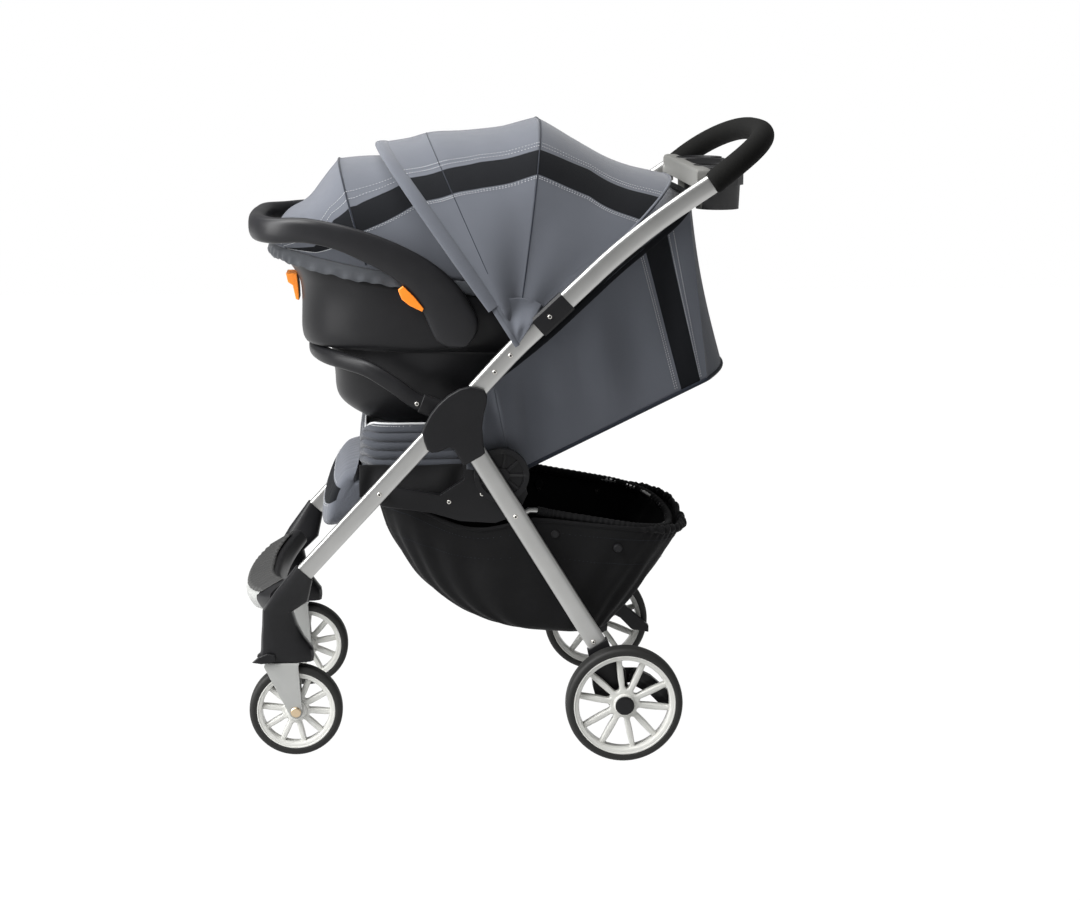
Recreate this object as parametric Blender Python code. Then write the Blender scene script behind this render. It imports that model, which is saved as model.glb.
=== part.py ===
"""A travel system stroller: a folding stroller frame with an infant carrier seated on it.

Blender 4.5, metres, +Z up, the stroller faces -X and its left side faces -Y. Lengths below are measured from the
rear axle's line (x), the floor (z) and the middle plane (y). One empty carries them all to the part's own origin.
"""
import math

import bmesh
import bpy
from mathutils import Vector

# The rear axle's line lies this far behind the part's origin.
REAR_AXLE_X = 0.1759
FIT = 0.0003                      # gap between pieces that touch
PIN_FIT = 0.0003                  # radial gap of a pin in its bore

# Wheels
REAR_TYRE_RADIUS = 0.0925
REAR_TYRE_WIDTH = 0.032
REAR_WHEEL_Y = 0.2500
FRONT_TYRE_RADIUS = 0.0739
FRONT_TYRE_WIDTH = 0.028
FRONT_WHEEL_X = -0.5173
FRONT_WHEEL_Y = 0.1880
TYRE_HEIGHT = 0.0120              # tread to rim
RIM_BAND = 0.0087                 # rim's own radial thickness
HUB_RADIUS = 0.0170
SPOKE_PAIRS = 5
SPOKE_WIDTH = 0.0082
REAR_SPOKE_LOOP, FRONT_SPOKE_LOOP = 15.9, 18.5    # half angle between a pair's spokes at the rim
WHEEL_SEGMENTS = 28               # the rim and its tyre share their facets
AXLE_RADIUS = 0.0050
CAP_RADIUS = 0.0150
CAP_THICKNESS = 0.0040
CASTER_TRAIL = 0.0227             # swivel axis ahead of the front wheel's axle

# Folding hub
HUB_X, HUB_Z = -0.2670, 0.5460
HUB_PIN_RADIUS = 0.0060
LUG_RADIUS = 0.0210
LUG_REACH = 0.0780
REAR_LAYER_Y = 0.2220             # middle planes of the tubes' two layers
FRONT_LAYER_Y = 0.2380
TUBE_DEPTH = 0.0150
TUBE_START = 0.0600               # tubes begin this far from the hub pin
COVER_THICKNESS = 0.0100

# Legs, measured from the hub pin along each leg
FRONT_LEG_ANGLE = math.radians(-132.9)
FRONT_LEG_OFFSET = 0.0076         # its axis passes this far ahead of the hub pin
FRONT_LEG_LENGTH = 0.3300
FRONT_LEG_WIDTH = 0.0280
REAR_LEG_ANGLE = math.radians(-58.6)
REAR_LEG_OFFSET = -0.0038         # its axis passes this far behind the hub pin
REAR_LEG_LENGTH = 0.4280
REAR_LEG_WIDTH = 0.0310

# Push tube and grip
PUSH_TUBE_WIDTH = 0.0300
PUSH_ROUTE = ((-0.2304, 0.5910), (-0.1706, 0.6550), (-0.1165, 0.7055), (-0.0654, 0.7535), (-0.0168, 0.7980),
              (0.0392, 0.8430), (0.0905, 0.8795), (0.1290, 0.9050))
GRIP_START = PUSH_ROUTE[-1]
GRIP_ANGLE = math.radians(39.5)
GRIP_REACH = 0.1260               # from the grip's start to the middle of its bow
GRIP_DROOP = 0.0110
GRIP_RADIUS = 0.0180
COLLAR_WALL = 0.0022
COLLAR_OUT = 0.0006               # the collar stands this far out, clear of the canopy's cloth
COLLAR_DEPTH = 0.0093
COLLAR_SHARES = (0.234, 0.275, 0.316, 0.357)   # the collar's stretch of the push tube's route
PUSH_SHARES = (0.0, 0.12) + COLLAR_SHARES + (0.50, 0.65, 0.80, 0.92)

# Parent tray
TRAY_X0, TRAY_X1 = 0.1100, 0.2030
TRAY_Z0, TRAY_Z1 = 0.8960, 0.9260
TRAY_HALF_WIDTH = 0.2150
CUP_X, CUP_Y = 0.1570, 0.1080
CUP_RADIUS = 0.0370
CUP_WALL = 0.0030
CUP_BOTTOM_Z = 0.8580

# Seat
RAIL_Y0, RAIL_Y1 = 0.1860, 0.1990
FOOTREST_END = 0.1859
SEAT_HALF_WIDTH = 0.1700
CALF_HALF_WIDTH = 0.1520
SEAT_FRONT_X, SEAT_REAR_X = -0.4130, -0.2050
SEAT_Z0, SEAT_Z1 = 0.4430, 0.4980
SEAT_BOLSTER = 0.0300
RECLINE_X, RECLINE_Z = -0.1850, 0.4620
BOARD_LENGTH = 0.3200
BOARD_ANGLE = math.radians(22.5)
BOARD_HALF_WIDTH = 0.1550
BOARD_THICKNESS = 0.0120

# Canopy of the stroller, as a fan about its pivot
CANOPY_X, CANOPY_Z = -0.1670, 0.6700
CANOPY_HALF_WIDTH = 0.2282
SHEET = 0.0030
BACK_LOW_Y = 0.1757
BACK_UNDER_TUBE = 0.0060          # the cloth's upper edge below the push tube's axis at its ends
BACK_CLEAR_OF_COLLAR = 0.0145     # and this much lower between them
BACK_EDGE_Y = FRONT_LAYER_Y - TUBE_DEPTH / 2 - SHEET / 2 - FIT
BOW_RADIUS = 0.0030
FRONT_BOW_Y = 0.2147
MIDDLE_BOW_Y = 0.2217
FRONT_BOW_ANGLE, FRONT_BOW_REACH = math.radians(124.0), 0.3455
MIDDLE_BOW_ANGLE, MIDDLE_BOW_REACH = math.radians(82.0), 0.3270
BOW_UNDER = 0.0080                # bow's centre line below the cloth's middle

# Infant carrier
SHELL_WALL = 0.0060
LINER_THICKNESS = 0.0180
LINER_ROLL = 0.0120                # height of the padded roll over the shell's rim
HOOD_RISE = LINER_ROLL - 0.0014   # middle of the hood's cloth above the rim
CARRIER_PIVOT_X, CARRIER_PIVOT_Z = -0.2610, 0.6890
CARRIER_ARM_Y = 0.2020
CARRIER_ARM_DEPTH = 0.0170
BAR_Y = 0.2068
BAR_FRONT_Z = 0.6325
BAR_HALF_HEIGHT = 0.0130
BAR_HALF_DEPTH = 0.0065

SIDES = (("left", -1), ("right", 1))


def clear_scene():
    for obj in list(bpy.data.objects):
        bpy.data.objects.remove(obj, do_unlink=True)


def make_material(name, colour, roughness, metallic=0.0):
    material = bpy.data.materials.new(name)
    material.use_nodes = True
    shader = material.node_tree.nodes["Principled BSDF"]
    shader.inputs["Base Color"].default_value = (*colour, 1.0)
    shader.inputs["Roughness"].default_value = roughness
    shader.inputs["Metallic"].default_value = metallic
    material.diffuse_color = (*colour, 1.0)
    return material


clear_scene()
ALUMINIUM = make_material("brushed_aluminium", (0.48, 0.49, 0.47), 0.32, 1.0)
BLACK_PLASTIC = make_material("black_plastic", (0.022, 0.022, 0.023), 0.45)
GREY_PLASTIC = make_material("grey_plastic", (0.33, 0.33, 0.31), 0.5)
DARK_GREY = make_material("dark_grey_plastic", (0.055, 0.055, 0.058), 0.42)
RUBBER = make_material("tyre_rubber", (0.024, 0.024, 0.023), 0.7)
RIM_SILVER = make_material("rim_silver", (0.60, 0.60, 0.57), 0.4)
FOAM = make_material("grip_foam", (0.022, 0.022, 0.019), 0.9)
STEEL = make_material("plated_steel", (0.56, 0.53, 0.45), 0.25, 1.0)
GREY_CLOTH = make_material("grey_cloth", (0.105, 0.113, 0.138), 0.85)
BLACK_CLOTH = make_material("black_cloth", (0.014, 0.014, 0.015), 0.85)
ORANGE = make_material("orange_plastic", (1.0, 0.25, 0.02), 0.4)


def polar(length, angle, x=HUB_X, z=HUB_Z):
    return x + length * math.cos(angle), z + length * math.sin(angle)


def xyz(point, y):
    return Vector((point[0], y, point[1]))


def bend(points, position):
    """The point at `position` (0 to 1) of a smooth curve through evenly spaced points."""
    span = position * (len(points) - 1)
    index = min(int(span), len(points) - 2)
    t = span - index
    p1, p2 = Vector(points[index]), Vector(points[index + 1])
    p0 = Vector(points[index - 1]) if index else 2 * p1 - p2
    p3 = Vector(points[index + 2]) if index + 2 < len(points) else 2 * p2 - p1
    return 0.5 * (2 * p1 + (p2 - p0) * t + (2 * p0 - 5 * p1 + 4 * p2 - p3) * t * t
                  + (3 * p1 - p0 - 3 * p2 + p3) * t ** 3)


def smooth_path(points, count):
    return [bend(points, index / (count - 1)) for index in range(count)]


def rounded(count, half_a, half_b, power=3.2):
    """A closed section between an ellipse (power 2) and a rectangle (large power)."""
    section = []
    for index in range(count):
        turn = math.tau * (index + 0.5) / count
        c, s = math.cos(turn), math.sin(turn)
        section.append((math.copysign(abs(c) ** (2 / power), c) * half_a,
                        math.copysign(abs(s) ** (2 / power), s) * half_b))
    return section


def ring(centre, axis_a, axis_b, section):
    return [centre + axis_a * a + axis_b * b for a, b in section]


def loft(rings, closed=False):
    """Skin a row of rings; the two ends are capped unless the row is closed."""
    bm = bmesh.new()
    rows = [[bm.verts.new(point) for point in points] for points in rings]
    count = len(rows[0])
    pairs = list(zip(rows, rows[1:]))
    if closed:
        pairs.append((rows[-1], rows[0]))
    for low, high in pairs:
        for index in range(count):
            after = (index + 1) % count
            bm.faces.new((low[index], low[after], high[after], high[index]))
    if not closed:
        bm.faces.new(rows[0][::-1])
        bm.faces.new(rows[-1])
    bmesh.ops.recalc_face_normals(bm, faces=bm.faces)
    return bm


def turned(profile, segments, y=0.0, x=0.0, z=0.0, closed=True):
    """Turn (radius, y) points about the Y direction."""
    rings = []
    for index in range(segments):
        turn = math.tau * index / segments
        rings.append([Vector((x + r * math.cos(turn), y + offset, z + r * math.sin(turn)))
                      for r, offset in profile])
    if closed:
        return loft(rings, closed=True)
    return loft([[row[index] for row in rings] for index in range(len(profile))])


def cylinder(radius, y0, y1, x, z, segments=16):
    return turned([(radius, y0), (radius, y1)], segments, x=x, z=z, closed=False)


def plate(outline, y0, y1, bevel=0.0):
    """A plate between two Y planes from its (x, z) outline, its outer rim bevelled."""
    bm = bmesh.new()
    face = bm.faces.new([bm.verts.new((x, y0, z)) for x, z in outline])
    result = bmesh.ops.extrude_face_region(bm, geom=[face])
    moved = [item for item in result["geom"] if isinstance(item, bmesh.types.BMVert)]
    bmesh.ops.translate(bm, verts=moved, vec=(0, y1 - y0, 0))
    bmesh.ops.recalc_face_normals(bm, faces=bm.faces)
    if bevel:
        rim = [edge for edge in bm.edges if all(abs(vert.co.y - y1) < 1e-6 for vert in edge.verts)]
        bmesh.ops.bevel(bm, geom=rim, offset=bevel, segments=2, affect="EDGES", profile=0.5)
    return bm


def slab(outline, z0, z1, bevel=0.0):
    """A flat piece between two levels from its (x, y) outline, its upper rim bevelled."""
    bm = bmesh.new()
    face = bm.faces.new([bm.verts.new((x, y, z0)) for x, y in outline])
    result = bmesh.ops.extrude_face_region(bm, geom=[face])
    moved = [item for item in result["geom"] if isinstance(item, bmesh.types.BMVert)]
    bmesh.ops.translate(bm, verts=moved, vec=(0, 0, z1 - z0))
    bmesh.ops.recalc_face_normals(bm, faces=bm.faces)
    if bevel:
        rim_edges = [edge for edge in bm.edges if all(abs(vert.co.z - z1) < 1e-6 for vert in edge.verts)]
        bmesh.ops.bevel(bm, geom=rim_edges, offset=bevel, segments=2, affect="EDGES", profile=0.5)
    return bm


def grown(outline, margin):
    """The outline, listed clockwise or not, moved outwards by a margin."""
    points = [Vector(point) for point in outline]
    centre = sum(points, Vector((0, 0))) / len(points)
    result = []
    for index, point in enumerate(points):
        before, after = points[index - 1], points[(index + 1) % len(points)]
        first = Vector((point.y - before.y, before.x - point.x)).normalized()
        second = Vector((after.y - point.y, point.x - after.x)).normalized()
        outward = (first + second) / (1 + first.dot(second))
        if outward.dot(point - centre) < 0:
            outward.negate()
        result.append(tuple(point + outward * margin))
    return result


def block(low, high, bevel=0.0, segments=2):
    bm = bmesh.new()
    bmesh.ops.create_cube(bm, size=1.0)
    low, high = Vector(low), Vector(high)
    for vert in bm.verts:
        vert.co = Vector((high[i] if vert.co[i] > 0 else low[i]) for i in range(3))
    if bevel:
        bmesh.ops.bevel(bm, geom=bm.edges[:], offset=bevel, segments=segments, affect="EDGES", profile=0.5)
    return bm


def tube_rings(path, widths, section):
    """Rings along a path; each takes its width direction from `widths`, its depth across both."""
    rings = []
    for index, point in enumerate(path):
        before, after = path[max(index - 1, 0)], path[min(index + 1, len(path) - 1)]
        along = (after - before).normalized()
        width = widths[index] if isinstance(widths, list) else widths
        if width is None:
            width = Vector((-along.z, 0, along.x)).normalized()
        depth = along.cross(width).normalized()
        width = depth.cross(along).normalized()
        rings.append(ring(point, width, depth, section[index] if isinstance(section[0], list) else section))
    return rings


def boolean(base, tool, operation):
    """Join, cut or intersect two closed bmeshes with the exact solver."""
    objects = []
    for bm in (base, tool):
        mesh = bpy.data.meshes.new("operand")
        bm.to_mesh(mesh)
        bm.free()
        obj = bpy.data.objects.new("operand", mesh)
        bpy.context.scene.collection.objects.link(obj)
        objects.append(obj)
    modifier = objects[0].modifiers.new("Boolean", "BOOLEAN")
    modifier.operation = operation
    modifier.solver = "EXACT"
    modifier.object = objects[1]
    depsgraph = bpy.context.evaluated_depsgraph_get()
    evaluated = objects[0].evaluated_get(depsgraph)
    result = bmesh.new()
    result.from_mesh(evaluated.to_mesh())
    evaluated.to_mesh_clear()
    for obj in objects:
        mesh = obj.data
        bpy.data.objects.remove(obj, do_unlink=True)
        bpy.data.meshes.remove(mesh)
    bmesh.ops.remove_doubles(result, verts=result.verts, dist=1e-5)
    return result


def join(base, *others):
    for other in others:
        base = boolean(base, other, "UNION")
    return base


def cut(base, *others):
    for other in others:
        base = boolean(base, other, "DIFFERENCE")
    return base


# Empties on the joints' axes carry the moving pieces.
AXES = {"frame_origin": Vector((0, 0, 0))}
EMPTIES = {}


def make_axis(name, point):
    empty = bpy.data.objects.new(name, None)
    empty.empty_display_size = 0.03
    bpy.context.scene.collection.objects.link(empty)
    AXES[name] = Vector(point)
    EMPTIES[name] = empty
    if name == "frame_origin":
        empty.location = (REAR_AXLE_X, 0, 0)
    else:
        empty.parent = EMPTIES["frame_origin"]
        empty.location = point


def add(name, bm, material, axis="frame_origin", smooth=35):
    """Turn a bmesh, modelled in the rear axle's frame, into one named sub-part on its axis."""
    bmesh.ops.recalc_face_normals(bm, faces=bm.faces)
    bmesh.ops.translate(bm, verts=bm.verts, vec=-AXES[axis])
    mesh = bpy.data.meshes.new(name)
    bm.to_mesh(mesh)
    bm.free()
    mesh.materials.append(material)
    mesh.shade_smooth()
    mesh.set_sharp_from_angle(angle=math.radians(smooth))
    obj = bpy.data.objects.new(name, mesh)
    obj.parent = EMPTIES[axis]
    bpy.context.scene.collection.objects.link(obj)
    return obj


def thicken(obj, thickness, offset=0.0):
    modifier = obj.modifiers.new("Solidify", "SOLIDIFY")
    modifier.thickness = thickness
    modifier.offset = offset
    modifier.use_even_offset = True
    modifier.use_rim = True


def make_axes():
    make_axis("frame_origin", (0, 0, 0))
    make_axis("hub_axis", (HUB_X, 0, HUB_Z))
    make_axis("rear_hub_axis", (HUB_X, 0, HUB_Z))
    make_axis("canopy_front_axis", (CANOPY_X, 0, CANOPY_Z))
    make_axis("canopy_middle_axis", (CANOPY_X, 0, CANOPY_Z))
    make_axis("recline_axis", (RECLINE_X, 0, RECLINE_Z))
    make_axis("carrier_seat", (CARRIER_PIVOT_X, 0, CARRIER_PIVOT_Z))
    make_axis("carrier_handle_axis", (CARRIER_PIVOT_X, 0, CARRIER_PIVOT_Z))
    make_axis("release_lever_axis", (LEVER_X, 0, LEVER_Z))
    for side, sign in SIDES:
        make_axis(f"rear_wheel_{side}_axis", (0, sign * REAR_WHEEL_Y, REAR_TYRE_RADIUS))
        make_axis(f"caster_{side}_axis", (FRONT_WHEEL_X - CASTER_TRAIL, sign * FRONT_WHEEL_Y, 0.15))
        make_axis(f"front_wheel_{side}_axis", (FRONT_WHEEL_X, sign * FRONT_WHEEL_Y, FRONT_TYRE_RADIUS))
        make_axis(f"swivel_lock_{side}_axis", (LOCK_X, sign * FRONT_WHEEL_Y, LOCK_Z))
        make_axis(f"brake_{side}_axis", (BRAKE_X, sign * REAR_LAYER_Y, BRAKE_Z))
        make_axis(f"handle_button_{side}_axis", (BUTTON_X, sign * CARRIER_ARM_Y, BUTTON_Z))


# Front boots, casters and locks
BOOT_BOTTOM_Z = 0.1545
LOCK_X, LOCK_Z = -0.5570, 0.1640
LOCK_THICKNESS = 0.0040
STEM_RADIUS = 0.0080
STEM_TOP_Z = 0.1950
FORK_GAP = 0.0012                 # fork leg to tyre side
FORK_LEG = 0.0042
BOLT_RADIUS = 0.0040
BOLT_HEAD_RADIUS = 0.0085
BOLT_HEAD = 0.0030

# Rear brake pedals
BRAKE_X, BRAKE_Z = 0.0220, 0.1270
BRAKE_BOSS_RADIUS = 0.0130
CHEEK = 0.0032
HOUSING_Y0, HOUSING_Y1 = 0.2145, 0.2325

# Carrier controls
LEVER_X, LEVER_Z = -0.5100, 0.7500
BUTTON_X, BUTTON_Z = -0.3290, 0.7320
BUTTON_Y0, BUTTON_Y1 = 0.1995, 0.2120
BUTTON_TRAVEL = 0.0040
BUTTON_FIT = 0.0005


def leg_point(length, angle, offset):
    """A point on a leg's axis, which passes the hub pin at `offset` on its forward side."""
    x, z = polar(length, angle)
    return x + offset * math.sin(angle), z - offset * math.cos(angle)


def lug_angle(angle, offset):
    x, z = leg_point(LUG_REACH, angle, offset)
    return math.atan2(z - HUB_Z, x - HUB_X)


def leg(width, angle, offset, end, layer, sign):
    path = [xyz(leg_point(TUBE_START, angle, offset), sign * layer), xyz(leg_point(end, angle, offset), sign * layer)]
    return loft(tube_rings(path, None, rounded(12, width / 2, TUBE_DEPTH / 2, 4.5)))


def lug(angle, y_low, y_high, half_width, sign, reach=LUG_REACH):
    """The flat tongue of a tube's end fitting, round about the hub pin."""
    across = angle + math.pi / 2
    outline = []
    for side_sign in (1, -1):
        x, z = polar(reach, angle)
        outline.append((x + side_sign * half_width * math.cos(across),
                        z + side_sign * half_width * math.sin(across)))
    for index in range(9):
        turn = angle - math.radians(100) - math.radians(160) * index / 8
        outline.append(polar(LUG_RADIUS, turn))
    return plate(outline, sign * y_low, sign * y_high)


def hub_bore(sign):
    return cylinder(HUB_PIN_RADIUS + PIN_FIT, sign * 0.15, sign * 0.30, HUB_X, HUB_Z, 16)


FRONT_LUG_Y = (FRONT_LAYER_Y - TUBE_DEPTH / 2 + 0.0002, FRONT_LAYER_Y - FIT)
PUSH_LUG_Y = (FRONT_LAYER_Y + FIT, FRONT_LAYER_Y + TUBE_DEPTH / 2 - 0.0002)
REAR_LUG_Y = (REAR_LAYER_Y - TUBE_DEPTH / 2 + 0.0002, REAR_LAYER_Y + TUBE_DEPTH / 2 - 0.0002)
COVER_Y = FRONT_LAYER_Y + TUBE_DEPTH / 2 + 0.0008


def make_hub():
    cover = [(-0.2375, 0.6014), (-0.2173, 0.5941), (-0.2134, 0.5860), (-0.2143, 0.5735), (-0.2190, 0.5577),
             (-0.2215, 0.5371), (-0.2193, 0.5084), (-0.2170, 0.4972), (-0.2225, 0.4925), (-0.2461, 0.4792),
             (-0.2525, 0.4800), (-0.2655, 0.5042), (-0.2725, 0.5059), (-0.2882, 0.4997), (-0.2992, 0.4982),
             (-0.3061, 0.5031), (-0.3107, 0.5159), (-0.3137, 0.5302), (-0.3097, 0.5413), (-0.3001, 0.5586),
             (-0.2891, 0.5727), (-0.2734, 0.5868), (-0.2560, 0.5970)]
    for side, sign in SIDES:
        add(f"hub_cover_{side}", plate(cover, sign * COVER_Y, sign * (COVER_Y + COVER_THICKNESS), 0.0030),
            BLACK_PLASTIC)
        add(f"hub_pin_{side}", cylinder(HUB_PIN_RADIUS, sign * (RAIL_Y0 - 0.001), sign * (COVER_Y - FIT),
                                        HUB_X, HUB_Z), STEEL)


def make_legs():
    for side, sign in SIDES:
        front = join(leg(FRONT_LEG_WIDTH, FRONT_LEG_ANGLE, FRONT_LEG_OFFSET, FRONT_LEG_LENGTH, FRONT_LAYER_Y, sign),
                     lug(lug_angle(FRONT_LEG_ANGLE, FRONT_LEG_OFFSET), *FRONT_LUG_Y, FRONT_LEG_WIDTH / 2 - 0.004,
                         sign))
        add(f"front_leg_{side}", cut(front, hub_bore(sign)), ALUMINIUM)
        rear = join(leg(REAR_LEG_WIDTH, REAR_LEG_ANGLE, REAR_LEG_OFFSET, REAR_LEG_LENGTH, REAR_LAYER_Y, sign),
                    lug(lug_angle(REAR_LEG_ANGLE, REAR_LEG_OFFSET), *REAR_LUG_Y, REAR_LEG_WIDTH / 2 - 0.004, sign))
        add(f"rear_leg_{side}", cut(rear, hub_bore(sign)), ALUMINIUM, "rear_hub_axis")


def boot_rings(sign):
    """Sections of the front corner boot: front and rear points, middle plane and half depth."""
    top = Vector(leg_point(FRONT_LEG_LENGTH + FIT, FRONT_LEG_ANGLE, FRONT_LEG_OFFSET))
    swivel_x = FRONT_WHEEL_X - CASTER_TRAIL
    across = Vector((math.cos(FRONT_LEG_ANGLE - math.pi / 2), math.sin(FRONT_LEG_ANGLE - math.pi / 2)))
    half = FRONT_LEG_WIDTH / 2 + 0.0028
    stations = [(top + across * half, top - across * half, FRONT_LAYER_Y, 0.0100),
                ((swivel_x - 0.0040, 0.2760), (swivel_x + 0.0470, 0.2600), 0.2240, 0.0150),
                ((swivel_x - 0.0260, 0.2420), (swivel_x + 0.0220, 0.2400), 0.2040, 0.0175),
                ((swivel_x - 0.0280, 0.2150), (swivel_x + 0.0280, 0.2150), 0.1930, 0.0190),
                ((swivel_x - 0.0300, 0.1950), (swivel_x + 0.0380, 0.1930), 0.1890, 0.0195),
                ((swivel_x - 0.0310, 0.1750), (swivel_x + 0.0520, 0.1740), FRONT_WHEEL_Y, 0.0200),
                ((swivel_x - 0.0330, 0.1660), (swivel_x + 0.0530, 0.1660), FRONT_WHEEL_Y, 0.0205),
                ((swivel_x - 0.0380, 0.1620), (swivel_x + 0.0532, 0.1610), FRONT_WHEEL_Y, 0.0190),
                ((swivel_x - 0.0260, BOOT_BOTTOM_Z), (swivel_x + 0.0520, BOOT_BOTTOM_Z), FRONT_WHEEL_Y, 0.0180)]
    rings = []
    for front, rear, y, half_depth in stations:
        front, rear = xyz(front, sign * y), xyz(rear, sign * y)
        along = rear - front
        rings.append(ring((front + rear) / 2, along.normalized(), Vector((0, 1, 0)),
                          rounded(16, along.length / 2, half_depth, 3.2)))
    return rings


def make_front_corners():
    swivel_x = FRONT_WHEEL_X - CASTER_TRAIL
    for side, sign in SIDES:
        y = sign * FRONT_WHEEL_Y
        bore = bmesh.new()
        bmesh.ops.create_cone(bore, cap_ends=True, segments=16, radius1=STEM_RADIUS + 0.0005,
                              radius2=STEM_RADIUS + 0.0005, depth=0.1)
        bmesh.ops.translate(bore, verts=bore.verts, vec=(swivel_x, y, STEM_TOP_Z + 0.0005 - 0.05))
        add(f"front_boot_{side}", cut(loft(boot_rings(sign)), bore), BLACK_PLASTIC)
        lever = [(swivel_x + x, z) for x, z in
                 ((-0.0440, 0.1575), (-0.0340, 0.1660), (-0.0200, 0.1715), (-0.0080, 0.1690), (-0.0070, 0.1590),
                  (-0.0160, 0.1565), (-0.0290, 0.1550))]
        face = FRONT_WHEEL_Y + 0.0205 + FIT
        plate_lever = plate(lever, sign * face, sign * (face + LOCK_THICKNESS), 0.0010)
        add(f"swivel_lock_{side}", plate_lever, BLACK_PLASTIC, f"swivel_lock_{side}_axis")


def make_fork(sign):
    """A caster fork: two side plates, a crown over the tyre and its swivel stem."""
    inner = FRONT_TYRE_WIDTH / 2 + FORK_GAP
    crown_low = 2 * FRONT_TYRE_RADIUS + 0.0010
    crown_high = BOOT_BOTTOM_Z - 0.0006
    y = sign * FRONT_WHEEL_Y
    swivel_x = FRONT_WHEEL_X - CASTER_TRAIL
    front_top, front_low = (swivel_x - 0.0240, crown_high), (swivel_x - 0.0260, crown_low)
    rear_top, rear_low = (swivel_x + 0.0300, crown_high), (swivel_x + 0.0280, crown_low)
    outline = [front_top, front_low]
    for index in range(7):
        turn = math.radians(200 + 140 * index / 6)
        outline.append((FRONT_WHEEL_X + 0.0110 * math.cos(turn), FRONT_TYRE_RADIUS + 0.0110 * math.sin(turn)))
    outline += [rear_low, rear_top]
    crown = [front_top, front_low, rear_low, rear_top]
    fork = plate(outline, y - inner - FORK_LEG, y - inner)
    fork = join(fork, plate(outline, y + inner, y + inner + FORK_LEG),
                plate(crown, y - inner - FORK_LEG / 2, y + inner + FORK_LEG / 2))
    stem = bmesh.new()
    bmesh.ops.create_cone(stem, cap_ends=True, segments=16, radius1=STEM_RADIUS, radius2=STEM_RADIUS,
                          depth=STEM_TOP_Z - crown_low - 0.001)
    bmesh.ops.translate(stem, verts=stem.verts,
                        vec=(swivel_x, y, (STEM_TOP_Z + crown_low + 0.001) / 2))
    fork = join(fork, stem)
    return cut(fork, cylinder(BOLT_RADIUS + PIN_FIT, y - 0.05, y + 0.05, FRONT_WHEEL_X, FRONT_TYRE_RADIUS, 12))


def tyre(radius, width):
    half = width / 2
    inner = radius - TYRE_HEIGHT + FIT
    profile = [(inner, -half), (radius - 0.0040, -half), (radius, -half * 0.55), (radius, half * 0.55),
               (radius - 0.0040, half), (inner, half)]
    return turned(profile, WHEEL_SEGMENTS)


def window(radius, centre, rim_half, foot_half, foot_radius):
    """One opening of the wheel's web, from the rim down to a rounded foot near the hub."""
    points = [(radius, rim_half), (foot_radius * 1.4, foot_half), (foot_radius, foot_half * 0.3)]
    sides = [(r, centre + a) for r, a in points] + [(r, centre - a) for r, a in reversed(points)]
    return [(r * math.cos(a), r * math.sin(a)) for r, a in sides]


def rim(radius, width, bore, loop, phase):
    """A one-piece rim about the wheel's centre: band, web of paired spokes and bored hub."""
    outer = radius - TYRE_HEIGHT
    inner = outer - RIM_BAND
    half = width / 2 - 0.0022
    band = turned([(inner, -half), (outer, -half), (outer, half), (inner, half)], WHEEL_SEGMENTS)
    web_half = 0.0065
    bm = bmesh.new()
    edges = []

    def outline(points):
        verts = [bm.verts.new((x, -web_half, z)) for x, z in points]
        for index, vert in enumerate(verts):
            edges.append(bm.edges.new((vert, verts[(index + 1) % len(verts)])))

    web_radius = inner + 0.005
    outline([(web_radius * math.cos(math.tau * i / 20), web_radius * math.sin(math.tau * i / 20))
             for i in range(20)])
    outline([(0.008 * math.cos(math.tau * i / 8), 0.008 * math.sin(math.tau * i / 8)) for i in range(8)])
    reach = inner + 0.0028
    step = math.tau / SPOKE_PAIRS
    scale = REAR_TYRE_RADIUS / radius
    for pair in range(SPOKE_PAIRS):
        centre = math.radians(phase) + pair * step
        inside = math.radians(loop) - SPOKE_WIDTH / 2 / reach
        outside = step / 2 - math.radians(loop) - SPOKE_WIDTH / 2 / reach
        outline(window(reach, centre, inside, 0.72 * inside, 0.0255 / scale ** 0.5))
        outline(window(reach, centre + step / 2, outside, 0.74 * outside, 0.0232 / scale ** 0.5))
    bmesh.ops.triangle_fill(bm, use_beauty=True, use_dissolve=False, edges=edges, normal=(0, -1, 0))
    result = bmesh.ops.extrude_face_region(bm, geom=bm.faces[:])
    moved = [item for item in result["geom"] if isinstance(item, bmesh.types.BMVert)]
    bmesh.ops.translate(bm, verts=moved, vec=(0, 2 * web_half, 0))
    bmesh.ops.recalc_face_normals(bm, faces=bm.faces)
    hub_half = width / 2 - 0.0015
    hub = turned([(bore, -hub_half), (HUB_RADIUS, -hub_half), (HUB_RADIUS, hub_half), (bore, hub_half)], 10)
    return join(band, bm, hub)


def shifted(bm, vector):
    bmesh.ops.translate(bm, verts=bm.verts, vec=vector)
    return bm


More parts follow.
